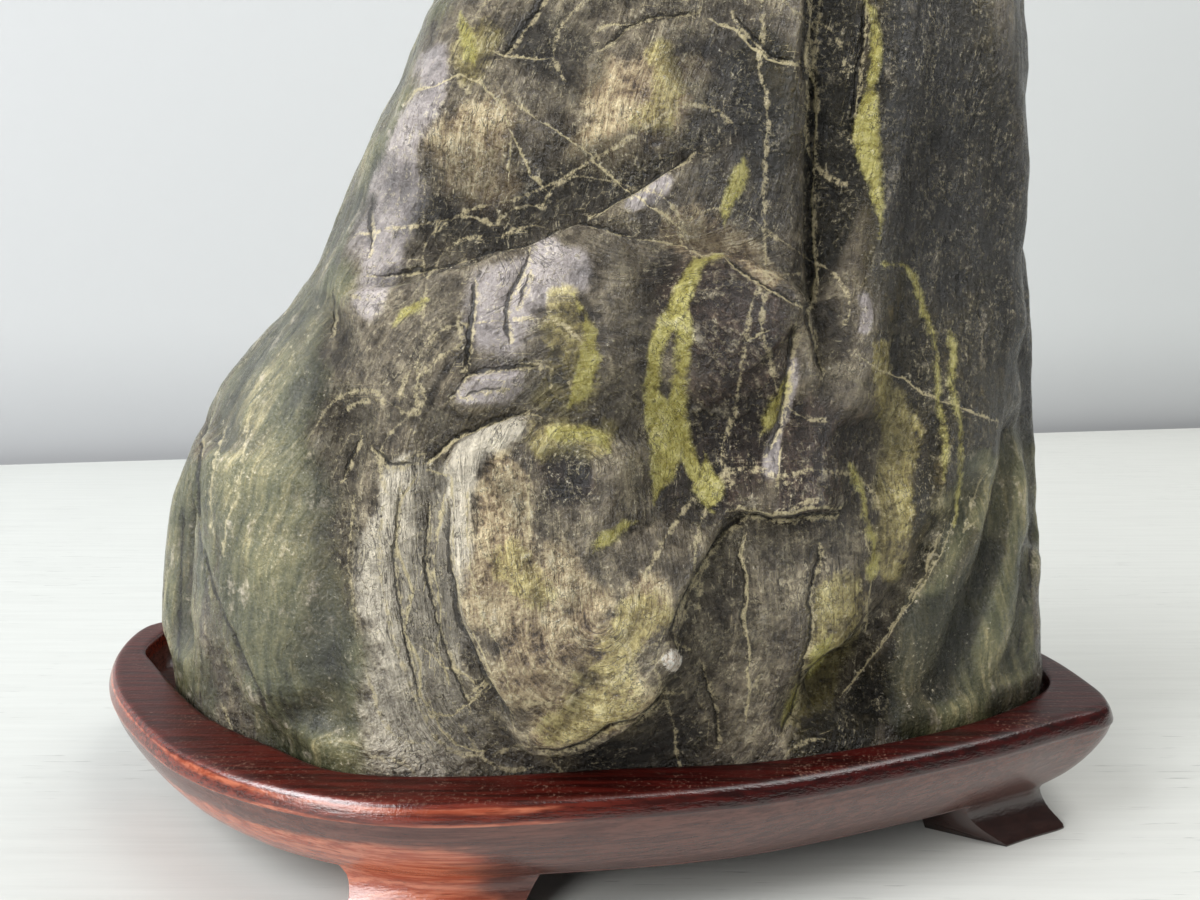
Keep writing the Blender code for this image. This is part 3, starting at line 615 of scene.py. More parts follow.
def stone_relief(points, normals):
    """How far each point moves along its normal, summed over all the main forms."""
    x, y, z = (points[..., i] for i in range(3))
    total = np.zeros(x.shape)
    facing = {
        side: smooth_step(*FACING_FADE, normals[..., 0] * side[0] + normals[..., 1] * side[1])
        for side in (FRONT, RIGHT, BACK, LEFT)
    }
    across = {FRONT: x, BACK: x, RIGHT: y, LEFT: y}
    for side, (cx, cz), (rx, rz), height in SWELLS.values():
        r2 = ((across[side] - cx) / rx)**2 + ((z - cz) / rz)**2
        total += facing[side] * height * np.clip(1 - r2, 0, 1)**1.5
    for forms in (FOLDS, LEDGES):
        for side, reach, height, line in forms.values():
            distance, hand, to_end = measure_from_line(smooth_line(line), across[side], z)
            form = facing[side] * smooth_step(0, FORM_END_FADE, to_end) * height
            if forms is LEDGES:
                form = form * smooth_step(-LEDGE_SOFTNESS, LEDGE_SOFTNESS, hand * distance)
            total += form * np.exp(-(distance / reach)**2)
    return total


# --- Stone: fine shape ----------------------------------------------------------------------------

FINE_FRONT_COLUMNS = 300
FINE_BACK_COLUMNS = 126
EVEN_ROWS = 176
DOME_FROM = 192.0
DOME_ROWS = 50
FINE_UNEVENNESS = [(5.5, 0.24), (2.7, 0.12)]
# Ridges along the grain: their spacing across it and along it, and their depth.
STRATA_SPACING = (2.6, 18.0, 18.0)
STRATA_DEPTH = 0.32
# Small ledges, in pixels but for the first: how many reaches one extends, how it fades to its ends,
# and half the width of its step.
LEDGE_EXTENT = 2.5
LEDGE_END_FADE = 30.0
LEDGE_STEP = 4.0
# The groove along a crack: its half width in millimetres, and how far from it counts, in pixels.
GROOVE_WIDTH = 1.1
GROOVE_EXTENT = 40.0
# Lines: the margin kept beside one and the distance that counts as none, in millimetres, the length
# over which it tapers to its ends, in pixels, and about the least size of a pixel on the stone.
LINE_SUPPORT = 2.0
FAR = 9.0
TAPER = 18.0
LEAST_PIXEL = 0.2
# Lines further apart than this, in pixels, can't disturb one another.
CLEAR_OF_OTHERS = 90.0
# Near and far surroundings, as (reach in grid steps, depth in millimetres that counts as full). The colour
# is darkened where the stone lies below them, as painted shade, and lightened where it stands out of them,
# as painted light.
PROMINENCES = [(3, 0.3), (12, 1.2)]
# Features count fully where the surface faces the camera, and fade out where it turns away.
VIEW_FADE = (0.04, 0.26)
# The back of the stone carries the same features, turned half a turn about this place in the view.
TURN_ABOUT = (1200.0, 760.0)
# The grain runs up and down, parallel to the outline; below the shoulder it goes round this core
# of the lobe, given in pixels, as far out as these distances from it.
LOBE_CORE = [(585, 470), (592, 540), (600, 620)]
LOBE_GRAIN_FROM = (215, 300)
LOBE_GRAIN_REACH = (330, 210)
PIXEL_ON_LOBE = 0.18
OUTLINE_GRAIN = 110.0
# How far the grain wavers, and over what length.
GRAIN_WAVER = (1.6, 14.0)
# How far the edges of colour areas are moved by noise, in pixels, its grain size in millimetres, and
# the places that it is read at.
AREA_DRIFT = 18.0
AREA_DRIFT_GRAIN = 13.0
AREA_DRIFT_OFFSETS = (0.0, 50.0)
# Past the features, the stone is this green at its left end and this olive at its right end; the
# one goes over into the other between these places.
END_GREEN = 0.75
END_OLIVE = 0.9
LEFT_END = (20, -20)
# How the weights of the colour areas, with the painted sheen of the pale area and the painted shade of the
# darkened one among them, are kept on the mesh, three to a vector.
AREA_GROUPS = {
    "areas_one": ("green", "fibrous", "beige"),
    "areas_two": ("brown", "pale", "yellow"),
    "areas_three": ("dark", "nodule", "olive"),
}


def fine_heights():
    """Heights of the rows: even as far as the dome, and then closing in towards the top."""
    even = np.linspace(STONE_BASE, DOME_FROM, EVEN_ROWS, endpoint=False)
    angles = np.linspace(float(rise(DOME_FROM)), math.pi / 2, DOME_ROWS + 1)[:-1]
    return np.r_[even, STONE_BASE + (STONE_TOP - STONE_BASE) * np.sin(angles)]


def main_shape():
    """The stone with the CAD part's main forms, as a fine grid: points, outward normals and relief."""
    base = stone_base_form(even_stations(FINE_FRONT_COLUMNS, FINE_BACK_COLUMNS), fine_heights())
    normals = grid_normals(base)
    relief = stone_relief(base, normals) + unevenness(base, UNEVENNESS)
    relief *= smooth_step(RELIEF_FROM, RELIEF_FULL, base[..., 2])
    points = base + normals * relief[..., None]
    return points, grid_normals(points), relief


def local_mean(grid, reach):
    """Each value of a grid averaged with its neighbours, as far as some rows and columns away."""
    rows = np.pad(grid, ((reach, reach), (0, 0)), mode="edge")
    rows = sum(rows[i:i + len(grid)] for i in range(2 * reach + 1))
    both = sum(np.roll(rows, i, axis=1) for i in range(-reach, reach + 1))
    return both / (2 * reach + 1)**2


def prominence(relief):
    """How far each place stands out of what is near it, and of what is further round it."""
    shares = [np.clip((relief - local_mean(relief, reach)) / depth, -1, 1)
              for reach, depth in PROMINENCES]
    return np.stack([*shares, np.zeros(relief.shape)], axis=-1)


def view_of(points, normals):
    """The points' places in the camera's view, the size of a pixel there, and how they face it."""
    away = points - np.array(CAMERA_SPOT)
    sine, cosine = math.sin(CAMERA_TILT_DOWN), math.cos(CAMERA_TILT_DOWN)
    forward = away[..., 1] * cosine - away[..., 2] * sine
    up = away[..., 1] * sine + away[..., 2] * cosine
    across = IMAGE_SIZE[0] / 2 + FOCAL_PIXELS * away[..., 0] / forward
    down = IMAGE_SIZE[1] / 2 - FOCAL_PIXELS * up / forward
    facing = -(normals * away).sum(axis=-1) / np.linalg.norm(away, axis=-1)
    return across, down, forward / FOCAL_PIXELS, facing


def feature_places(points, normals):
    """Where each point lies among the features: from the front, or turned about for the back."""
    turned = np.array([-1.0, -1.0, 1.0])
    front = view_of(points, normals)
    back = view_of(points * turned, normals * turned)
    back = (TURN_ABOUT[0] - back[0], TURN_ABOUT[1] - back[1], *back[2:])
    is_front = front[3] >= back[3]
    across, down, scale, facing = (np.where(is_front, f, b) for f, b in zip(front, back))
    return across, down, scale, smooth_step(*VIEW_FADE, facing)


def near_line(line, across, down, reach):
    """The places within reach of a line, with their distance, side and distance from its ends."""
    p = np.array(line, float)[:, :2]
    low, high = p.min(axis=0) - reach, p.max(axis=0) + reach
    near = (across > low[0]) & (across < high[0]) & (down > low[1]) & (down < high[1])
    near = np.flatnonzero(near)
    distance, side, to_end = measure_from_line(p * [1, -1], across[near], -down[near])
    return near, distance, side, to_end


def width_along(line, across, down):
    """The half width of a line at the places: that of its nearest point, blended between points."""
    p = np.array(line, float)
    gap = np.hypot(across[:, None] - p[:, 0], down[:, None] - p[:, 1])
    weight = 1.0 / (gap**4 + 1.0)
    return (weight * p[:, 2]).sum(axis=1) / weight.sum(axis=1)


def share_out(lines, channels=3):
    """Lines shared out over channels, each line to the channel where its neighbours are furthest."""
    shared = [[] for _ in range(channels)]
    for line in lines:
        p = np.array(line, float)[:, :2]
        gaps = []
        for channel in shared:
            others = [np.array(other, float)[:, :2] for other in channel]
            apart = [np.linalg.norm(p[:, None] - q[None], axis=2).min() for q in others]
            gaps.append(min([*apart, CLEAR_OF_OTHERS]))
        shared[int(np.argmax(gaps))].append(line)
    return shared


def line_channels(lines, across, down, scale, fade):
    """Signed distance to the nearest line, and that line's half width there, in three channels.

    Both are in millimetres, and the width is negative where no line is near.
    """
    distances = np.full(across.shape + (3,), FAR)
    widths = np.full(across.shape + (3,), -FAR)
    for number, channel in enumerate(share_out(lines)):
        best = np.full(across.shape, np.inf)
        for line in channel:
            reach = (FAR + max(p[2] for p in line)) / LEAST_PIXEL
            near, distance, side, to_end = near_line(line, across, down, reach)
            closer = distance < best[near]
            near, distance, side, to_end = (a[closer] for a in (near, distance, side, to_end))
            best[near] = distance
            size = scale[near]
            width = width_along(line, across[near], down[near]) * size * fade[near]
            width *= smooth_step(0, TAPER, to_end)
            width = np.where(to_end > 0, width, -distance * size)
            width = np.where(distance * size < width + LINE_SUPPORT, width, -FAR)
            distances[near, number] = side * distance * size
            widths[near, number] = width
    return distances, widths


def with_width(lines):
    """Lines of one half width each, as points that carry their half width.

    Each runs so that its lower or right-hand side is on the left of its travel.
    """
    carried = []
    for width, line in lines:
        right, down = line[-1][0] - line[0][0], line[-1][1] - line[0][1]
        points = line if 0.5 * down > right else line[::-1]
        carried.append([(x, y, width) for x, y in points])
    return carried


def line_fields(across, down, scale, fade):
    """The distances and half widths of each group of lines, under the names the material reads."""
    groups = {
        "crack": with_width([(width, line) for width, _, line in CRACKS]),
        "cream": with_width(CREAM_LINES),
        "vein": YELLOW_VEINS,
    }
    fields = {}
    for name, lines in groups.items():
        distances, widths = line_channels(lines, across, down, scale, fade)
        fields[name + "_distance"] = distances
        fields[name + "_width"] = widths
    return fields


def fine_relief(across, down, scale, fade):
    """Small ledges, and grooves along the cracks."""
    total = np.zeros(across.shape)
    for reach, height, line in SMALL_LEDGES:
        near, distance, side, to_end = near_line(line, across, down, LEDGE_EXTENT * reach)
        ends = smooth_step(0, LEDGE_END_FADE, to_end)
        step = smooth_step(-LEDGE_STEP, LEDGE_STEP, side * distance)
        total[near] += ends * height * step * np.exp(-(distance / reach)**2)
    grooves = np.zeros(across.shape)
    for _, depth, line in CRACKS:
        near, distance, _, to_end = near_line(line, across, down, GROOVE_EXTENT)
        groove = np.exp(-(distance * scale[near] / GROOVE_WIDTH)**2)
        groove = depth * smooth_step(0, TAPER, to_end) * groove
        grooves[near] = np.maximum(grooves[near], groove)
    return (total - grooves) * fade


def area_weight(chains, across, down):
    """How much each place belongs to an area made of chains of soft discs."""
    weight = np.zeros(across.shape)
    for chain in chains:
        reach = AREA_EXTENT * max(radius for _, _, radius in chain)
        near, distance, _, _ = near_line(chain, across, down, reach)
        radius = width_along(chain, across[near], down[near])
        share = smooth_step(1 + AREA_SOFTNESS, 1 - AREA_SOFTNESS, distance / radius)
        weight[near] = np.maximum(weight[near], share)
    return weight


def area_weights(points, across, down, fade):
    """How much each point belongs to each colour area, whose edges noise has moved a little."""
    drift = [AREA_DRIFT * soft_noise(points + offset, AREA_DRIFT_GRAIN).ravel()
             for offset in AREA_DRIFT_OFFSETS]
    weights = {
        name: area_weight(chains, across + drift[0], down + drift[1]) * fade
        for name, chains in COLOUR_AREAS.items()
    }
    left = smooth_step(*LEFT_END, points[..., 0]).ravel()
    weights["green"] = np.maximum(weights["green"], END_GREEN * (1 - fade) * left)
    weights["olive"] = np.maximum(weights["olive"], END_OLIVE * (1 - fade) * (1 - left))
    return weights


def grain_places(points, across, down):
    """Three coordinates for the grain, in millimetres: across it, and two along it."""
    steps = np.linalg.norm(np.roll(points, -1, axis=1) - points, axis=-1)
    run = np.cumsum(steps, axis=1) - steps
    front = run[:, FINE_FRONT_COLUMNS][:, None]
    back = steps.sum(axis=1)[:, None] - front
    turned_back = front - (run - front) * front / back
    arc = np.where(np.arange(points.shape[1])[None, :] < FINE_FRONT_COLUMNS, run, turned_back)
    arc = arc - front / 2
    by_outline = OUTLINE_GRAIN * arc / (front / 2)
    from_core = measure_from_line(smooth_line(LOBE_CORE) * [1, -1], across, -down)[0]
    round_lobe = smooth_step(*LOBE_GRAIN_FROM, down) * smooth_step(*LOBE_GRAIN_REACH, from_core)
    across_grain = by_outline + (PIXEL_ON_LOBE * from_core * np.sign(arc) - by_outline) * round_lobe
    waver, waver_length = GRAIN_WAVER
    across_grain = np.abs(across_grain) + waver * soft_noise(points, waver_length)
    return np.stack([across_grain, points[..., 2], arc], axis=-1)


def closed_grid_mesh(name, points, caps, kept):
    """A mesh of rows that close on themselves, with a point to close each end.

    Its material reads the kept vectors by their names; they are zero at the two closing points.
    """
    rows, columns = points.shape[:2]
    index = np.arange(rows * columns).reshape(rows, columns)
    after = np.roll(index, -1, axis=1)
    faces = np.stack([index[:-1], after[:-1], after[1:], index[1:]], axis=-1).reshape(-1, 4).tolist()
    low, high = rows * columns, rows * columns + 1
    faces += [(b, a, low) for a, b in zip(index[0].tolist(), after[0].tolist())]
    faces += [(a, b, high) for a, b in zip(index[-1].tolist(), after[-1].tolist())]
    vertices = np.vstack([points.reshape(-1, 3), caps]) * MM
    mesh = bpy.data.meshes.new(name)
    mesh.from_pydata(vertices.tolist(), [], faces)
    mesh.update()
    mesh.shade_smooth()
    for attribute, values in kept.items():
        layer = mesh.attributes.new(attribute, "FLOAT_VECTOR", "POINT")
        values = np.vstack([values.reshape(-1, 3), np.zeros((2, 3))])
        layer.data.foreach_set("vector", values.astype(np.float32).ravel())
    return mesh


def add_object(name, mesh, material):
    """An object for a mesh, with its material, in the scene."""
    mesh.materials.append(material)
    thing = bpy.data.objects.new(name, mesh)
    bpy.context.scene.collection.objects.link(thing)
    return thing


def make_stone():
    """The stone with its fine relief, and the places of its veins, cracks and colours."""
    points, normals, form = main_shape()
    places = feature_places(points, normals)
    grain = grain_places(points, *places[:2])
    across, down, scale, fade = (a.ravel() for a in places)
    nodule_across, nodule_down, radius = NODULE
    from_nodule = np.hypot(across - nodule_across, NODULE_SQUASH * (down - nodule_down))
    nodule = np.exp(-(from_nodule / radius)**4)
    relief = (fine_relief(across, down, scale, fade) + NODULE_RISE * nodule).reshape(form.shape)
    relief += unevenness(points, FINE_UNEVENNESS)
    relief += STRATA_DEPTH * soft_noise(grain / STRATA_SPACING, 1.0)
    relief *= smooth_step(RELIEF_FROM, RELIEF_FULL, points[..., 2])
    shaped = points + normals * relief[..., None]
    peak = shaped[-1].mean(axis=0) + [0, 0, (STONE_TOP - points[-1, 0, 2]) / 2]
    under = [*points[0, :, :2].mean(axis=0), STONE_BASE]
    weights = {**area_weights(points, across, down, fade), "nodule": nodule}
    kept = {
        "grain": grain,
        "prominence": prominence(form + relief),
        **line_fields(across, down, scale, fade),
    }
    for group, names in AREA_GROUPS.items():
        kept[group] = np.stack([weights[name] for name in names], axis=-1)
    mesh = closed_grid_mesh("veined_stone", shaped, [under, peak], kept)
    return add_object("veined_stone", mesh, stone_material())


# --- Materials ------------------------------------------------------------------------------------

def colour(red, green, blue):
    """A linear colour from screen values of 0 to 255."""
    channels = [c / 255 for c in (red, green, blue)]
    return (*[c / 12.92 if c <= 0.04045 else ((c + 0.055) / 1.055)**2.4 for c in channels], 1.0)


class Value:
    """What a node puts out, reckoned with like a number; each step of the reckoning adds a node."""

    def __init__(self, shader, socket):
        self.shader = shader
        self.socket = socket

    def __add__(self, other):
        return self.shader.math("ADD", self, other)

    def __sub__(self, other):
        return self.shader.math("SUBTRACT", self, other)

    def __mul__(self, other):
        return self.shader.math("MULTIPLY", self, other)

    def __abs__(self):
        return self.shader.math("ABSOLUTE", self)

    def swing(self, size):
        """A pattern as an offset of up to about half the size either way."""
        return (self - 0.5) * size

    def ramp(self, low, high, start=0.0, end=1.0):
        """From start to end, smoothly, as the value goes from low to high."""
        return self.shader.node("MapRange", {0: self, 1: low, 2: high, 3: start, 4: end},
                                interpolation_type="SMOOTHSTEP")

    def stops(self, stops):
        """A colour read from a list of (share, screen colour)."""
        node = self.shader.tree.nodes.new("ShaderNodeValToRGB")
        elements = node.color_ramp.elements
        while len(elements) < len(stops):
            elements.new(1.0)
        for element, (share, screen) in zip(elements, stops):
            element.position = share
            element.color = colour(*screen)
        self.shader.put(node.inputs[0], self)
        return Value(self.shader, node.outputs[0])

    def split(self):
        """The three parts of a vector."""
        node = self.shader.tree.nodes.new("ShaderNodeSeparateXYZ")
        self.shader.put(node.inputs[0], self)
        return [Value(self.shader, part) for part in node.outputs]

    def scaled(self, *factors):
        """A vector with each part multiplied."""
        return self.shader.vector_math("MULTIPLY", self, factors)

    def dim(self, factor):
        """A colour made darker or lighter by a factor."""
        return self.shader.node("VectorMath", {0: self, "Scale": factor}, operation="SCALE")


class Shader:
    """A material under construction, a node at a time."""

    def __init__(self, name):
        self.material = bpy.data.materials.new(name)
        self.material.use_nodes = True
        self.tree = self.material.node_tree
        self.surface = self.tree.nodes["Principled BSDF"]

    def node(self, kind, inputs, output=0, **settings):
        """One node with its settings and inputs, as the value of the output asked for."""
        node = self.tree.nodes.new("ShaderNode" + kind)
        for key, value in settings.items():
            setattr(node, key, value)
        for key, value in inputs.items():
            self.put(node.inputs[key], value)
        return Value(self, node.outputs[output])

    def put(self, socket, value):
        """A link into a socket, or a number or colour on it."""
        if isinstance(value, Value):
            self.tree.links.new(value.socket, socket)
        else:
            socket.default_value = value

    def finish(self, inputs):
        """The material, with values put on its surface."""
        for name, value in inputs.items():
            self.put(self.surface.inputs[name], value)
        return self.material

    def attribute(self, name):
        """The vector kept on the mesh under a name."""
        return self.node("Attribute", {}, output="Vector", attribute_name=name)

    def object_place(self):
        """The place on the object, in metres."""
        return self.node("TexCoord", {}, output="Object")

    def math(self, operation, a, b=0.0, c=0.0):
        """One step of reckoning with numbers."""
        return self.node("Math", {0: a, 1: b, 2: c}, operation=operation)

    def vector_math(self, operation, a, b):
        """One step of reckoning with vectors."""
        return self.node("VectorMath", {0: a, 1: b}, operation=operation)

    def largest(self, first, *others):
        """The largest of the values."""
        for other in others:
            first = self.math("MAXIMUM", first, other)
        return first

    def noise(self, vector, scale, detail=2.0, roughness=0.5, distortion=0.0, output=0):
        """Smooth noise, about its middle value of 0.5."""
        inputs = {"Vector": vector, "Scale": scale, "Detail": detail, "Roughness": roughness,
                  "Distortion": distortion}
        return self.node("TexNoise", inputs, output)

    def mix(self, factor, first, second):
        """One colour going over to another."""
        return self.node("Mix", {0: factor, 6: first, 7: second}, output=2, data_type="RGBA")

    def bump(self, strength, distance, height):
        """A surface that seems raised by a pattern."""
        return self.node("Bump", {"Strength": strength, "Distance": distance, "Height": height})


def near_lines(s, name, how_far_inside, soft):
    """How much a group of lines covers of each place, by how far inside one's cover it lies."""
    distances = s.attribute(name + "_distance").split()
    widths = s.attribute(name + "_width").split()
    return s.largest(*[how_far_inside(distance, width).ramp(-soft, soft)
                       for distance, width in zip(distances, widths)])


def line_cover(s, name, wobble, ragged, soft):
    """How much of each place is covered by a group of lines, whose edges wobble and are ragged."""

    def inside(distance, width):
        return width + ragged - abs(distance + wobble)

    return near_lines(s, name, inside, soft)


def crust_cover(s, name, wobble, thickness, soft):
    """How much of each place is covered by a crust along the lower side of a group of lines."""

    def inside(distance, width):
        off = distance + wobble - width
        return s.math("MINIMUM", off, thickness - off)

    return near_lines(s, name, inside, soft)


# Each kind of stone, as screen colours from its darkest places to its lightest, and the share of the
# pattern that each of them stands at.
TONE_SHARES = (0.0, 0.35, 0.65, 1.0)
STONE_COLOURS = {
    "plain": [(44, 38, 30), (88, 80, 67), (128, 118, 99), (204, 190, 158)],
    "brown": [(20, 14, 11), (38, 29, 24), (64, 51, 43), (128, 110, 94)],
    "olive": [(18, 15, 4), (35, 30, 10), (54, 46, 19), (112, 96, 52)],
    "green": [(42, 44, 30), (75, 76, 54), (100, 97, 70), (148, 138, 102)],
    # The pale kind's lilac-grey tones are a painted sheen.
    "pale": [(78, 72, 71), (120, 113, 111), (148, 140, 137), (192, 182, 176)],
    "fibrous": [(96, 90, 80), (176, 168, 152), (202, 193, 174), (232, 222, 200)],
    "beige": [(70, 57, 46), (142, 124, 97), (188, 171, 136), (230, 216, 180)],
    "yellow": [(80, 72, 43), (132, 120, 72), (174, 161, 101), (222, 210, 150)],
    "vein": [(118, 108, 56), (164, 154, 80), (196, 187, 110), (230, 221, 162)],
}
NODULE_STOPS = [(0.1, (140, 122, 98)), (0.4, (240, 222, 200)), (0.8, (255, 250, 240))]
CRAZING_COLOUR = colour(208, 196, 160)
WRINKLE_COLOUR = colour(210, 198, 166)
FLECK_COLOUR = colour(212, 202, 174)
CRUST_COLOUR = colour(212, 198, 158)
CREAM_COLOUR = colour(214, 200, 158)
# Painted shade: cracks, crazing and wrinkles are darkened nearly to black, standing for the shade in each
# gap.
GAP_SHADE_COLOUR = colour(24, 22, 19)
# Patterns: whether each follows the grain or not, its frequency across and along it for each
# millimetre, and its detail, roughness and distortion.
PATTERNS = {
    "fibre": (True, 1.6, 0.13, 4.0, 0.66, 0.3),
    "streak": (True, 0.42, 0.05, 4.0, 0.66, 0.3),
    "fold": (True, 0.36, 0.07, 3.0, 0.6, 0.5),
    "mottle": (False, 0.34, 0.34, 4.0, 0.66),
    "blot": (False, 0.13, 0.13, 4.0, 0.62),
    "cloud": (False, 0.045, 0.045, 3.0, 0.55),
    "fine": (False, 1.1, 1.1, 4.0, 0.75),
}
# The range of noise values that is spread out to 0 to 1.
NOISE_SPREAD = (0.36, 0.64)
# The nets of hairline cracks: frequency across and along the grain, width of a crack as a share of
# a cell, and where in the pattern the net starts.
CRAZINGS = [(0.17, 0.075, 0.022, 0.35), (0.5, 0.2, 0.035, 0.5)]
# How the nets' cells are bent: its frequency for each millimetre, and by how much of a cell.
CELL_BEND = (0.3, 2.4)


class Patterns:
    """The patterns that the stone's colour and relief are made of, each about 0.5."""

    def __init__(self, s, grain, place):
        low, high = NOISE_SPREAD
        for name, (with_grain, across, along, *settings) in PATTERNS.items():
            at = (grain if with_grain else place).scaled(across, along, along)
            value = s.noise(at, 1.0, *settings)
            setattr(self, name, s.node("MapRange", {0: value, 1: low, 2: high}, clamp=False))


def stone_tones(pattern, kind):
    """The colours of a kind of stone, read by a pattern about 0."""
    return (pattern + 0.5).stops(list(zip(TONE_SHARES, STONE_COLOURS[kind])))


def stone_ground(s, p, areas):
    """The colour of the stone before its lines: each kind of stone over the plain one, with painted shade
    in the darkened areas and in hollows, and painted light where it stands out.
    """
    blotch = p.blot.swing(0.35) + p.mottle.swing(0.28) + p.streak.swing(0.25) + p.fine.swing(0.15)
    speckled = p.mottle.swing(0.38) + p.fine.swing(0.36) + p.blot.swing(0.42) + p.fibre.swing(0.32)
    plain = p.blot.swing(0.45) + p.mottle.swing(0.34) + p.fine.swing(0.22) + p.fibre.swing(0.26)
    brown = p.mottle.swing(0.4) + p.fine.swing(0.35) + p.fibre.swing(0.25)
    olive = p.mottle.swing(0.35) + p.fine.swing(0.3) + p.streak.swing(0.3)
    streaked = p.streak.swing(0.5) + p.cloud.swing(0.4) + p.fine.swing(0.25) + p.fibre.swing(0.2)
    grained = p.fibre.swing(0.42) + p.fine.swing(0.22) + p.mottle.swing(0.3)
    smooth = p.mottle.swing(0.25) + p.fine.swing(0.25) + p.blot.swing(0.3)
    # Each kind with its pattern, the range over which it comes in, and how much of it shows.
    kinds = [
        ("brown", brown, 0.12, 0.88, 1.0),
        ("olive", olive, 0.05, 0.6, 1.0),
        ("green", streaked, 0.1, 0.7, 1.0),
        ("fibrous", grained, 0.12, 0.88, 1.0),
        ("beige", speckled, 0.12, 0.88, 1.0),
        # The pale kind paints the sheen of crests and ridges as a highlight.
        ("pale", smooth, 0.12, 0.88, 1.0),
        ("yellow", speckled, 0.45, 1.0, 0.75),
    ]
    base = stone_tones(plain, "plain")
    for kind, pattern, low, high, most in kinds:
        cover = (areas[kind] + blotch).ramp(low, high, 0.0, most)
        base = s.mix(cover, base, stone_tones(pattern, kind))
    # Painted shade: the darkened areas, most of them shade, bring the stone down to as little as 0.3 of its
    # colour.
    shade = (areas["dark"] + blotch).ramp(0.1, 0.9, 1.0, 0.3)
    # Painted shade and light: places that lie below what is round them are darkened, and places that stand
    # out of it are lightened.
    near, far, _ = s.attribute("prominence").split()
    painted_relief_shade = (near * 0.6 + far * 0.6 + p.mottle.swing(0.3)).ramp(-0.8, 0.8, 0.55, 1.4)
    return base.dim(shade).dim(painted_relief_shade * p.cloud.ramp(0.0, 1.0, 0.86, 1.14))


def stone_crazing(s, p, grain, place, rough_parts):
    """Hairline cracks and their cream sides: a wide network and a small one, broken up."""
    frequency, size = CELL_BEND
    bend = s.noise(place.scaled(*[frequency] * 3), 1.0, 3.0, output=1)
    bend = s.vector_math("SUBTRACT", bend, (0.5, 0.5, 0.5)).scaled(size, size, size)
    gaps, sides = [], []
    for across, along, width, low in CRAZINGS:
        at = s.vector_math("ADD", grain.scaled(across, along, along), bend)
        cells = s.node("TexVoronoi", {"Vector": at, "Scale": 1.0}, feature="DISTANCE_TO_EDGE")
        part = (p.blot + p.fine.swing(0.6)).ramp(low, low + 0.35) * rough_parts
        gaps.append(cells.ramp(width, width * 0.3) * part)
        sides.append(cells.ramp(2.2 * width, 1.2 * width) * p.fine.ramp(0.45, 0.8) * part)
    return s.largest(*gaps), s.largest(*sides)


def stone_wrinkles(p, rough_parts):
    """Wrinkles that run with the grain, and their cream sides."""
    part = (p.cloud + p.mottle.swing(0.6)).ramp(0.35, 0.65) * rough_parts
    from_fold = p.fold - 0.5
    wrinkle = abs(from_fold).ramp(0.045, 0.012) * part
    beside = abs(from_fold - 0.085).ramp(0.05, 0.02) * part * p.fine.ramp(0.35, 0.8)
    return wrinkle, beside


def stone_material():
    """Waxed dark stone: grained, mottled, veined and cracked."""
    s = Shader("veined_stone")
    grain = s.attribute("grain")
    place = s.object_place().scaled(*MM_IN_METRE)
    areas = {name: part for group, names in AREA_GROUPS.items()
             for name, part in zip(names, s.attribute(group).split())}
    p = Patterns(s, grain, place)
    base = stone_ground(s, p, areas)
    rough_parts = areas["green"].ramp(0.0, 0.8, 1.0, 0.15)
    crazed, crusted = stone_crazing(s, p, grain, place, rough_parts)
    base = s.mix(crusted * 0.4, base, CRAZING_COLOUR)
    wrinkle, beside = stone_wrinkles(p, rough_parts)
    base = s.mix(beside * 0.6, base, WRINKLE_COLOUR)

    wobble = p.mottle.swing(0.6) + p.fine.swing(0.15)
    cream = line_cover(s, "cream", wobble, p.mottle.swing(0.3) + p.fine.swing(0.15), 0.16)
    halo = line_cover(s, "cream", wobble, p.mottle.swing(0.8) + 0.9, 0.9)
    dusting = s.largest(halo * 0.45, p.cloud.ramp(0.3, 1.0, 0.0, 0.3))
    flecks = (p.fine + p.mottle.swing(0.4) + dusting).ramp(1.15, 1.45, 0.0, 0.7)
    base = s.mix(flecks, base, FLECK_COLOUR)
    thickness = p.mottle.ramp(0.1, 0.9) * rough_parts * 1.2
    crust = crust_cover(s, "crack", wobble, thickness, 0.25)
    crust = crust * p.fine.ramp(0.1, 0.6) * rough_parts.ramp(0.3, 1.0) * 0.75
    base = s.mix(crust, base, CRUST_COLOUR)
    # Cream lines: on the ledges' crests they are partly a painted highlight.
    base = s.mix(cream * areas["green"].ramp(0.0, 1.0, 0.85, 0.4), base, CREAM_COLOUR)

    vein_edge = p.blot.swing(0.9) + p.mottle.swing(0.8) + p.fine.swing(0.4)
    vein = line_cover(s, "vein", p.blot.swing(0.5), vein_edge, 0.7)
    vein_pattern = p.mottle.swing(0.45) + p.blot.swing(0.35) + p.fine.swing(0.35)
    base = s.mix(vein * 0.95, base, stone_tones(vein_pattern, "vein"))
    crack = line_cover(s, "crack", wobble, p.mottle.swing(0.25), 0.2)
    # Painted shade in the gaps of the cracks, crazing and wrinkles.
    base = s.mix(s.largest(crack, crazed * 0.8, wrinkle * 0.8) * 0.85, base, GAP_SHADE_COLOUR)
    nodule = (areas["nodule"] + p.fine.swing(0.4)).ramp(0.2, 0.45)
    base = s.mix(nodule, base, p.fine.stops(NODULE_STOPS))

    relief = p.fibre * areas["fibrous"].ramp(0.0, 1.0, 0.22, 0.5)
    relief = relief + p.mottle * 0.55 + p.fine * 0.26 + crack * -0.7
    relief = relief * s.largest(areas["green"], areas["pale"]).ramp(0.0, 1.0, 1.0, 0.3)
    return s.finish({
        "Base Color": base,
        "IOR": 1.56,
        "Roughness": p.mottle.ramp(0.0, 1.0, 0.2, 0.34),
        "Normal": s.bump(1.0, 0.0013, relief),
    })


# --- Stand: fine shape ----------------------------------------------------------------------------

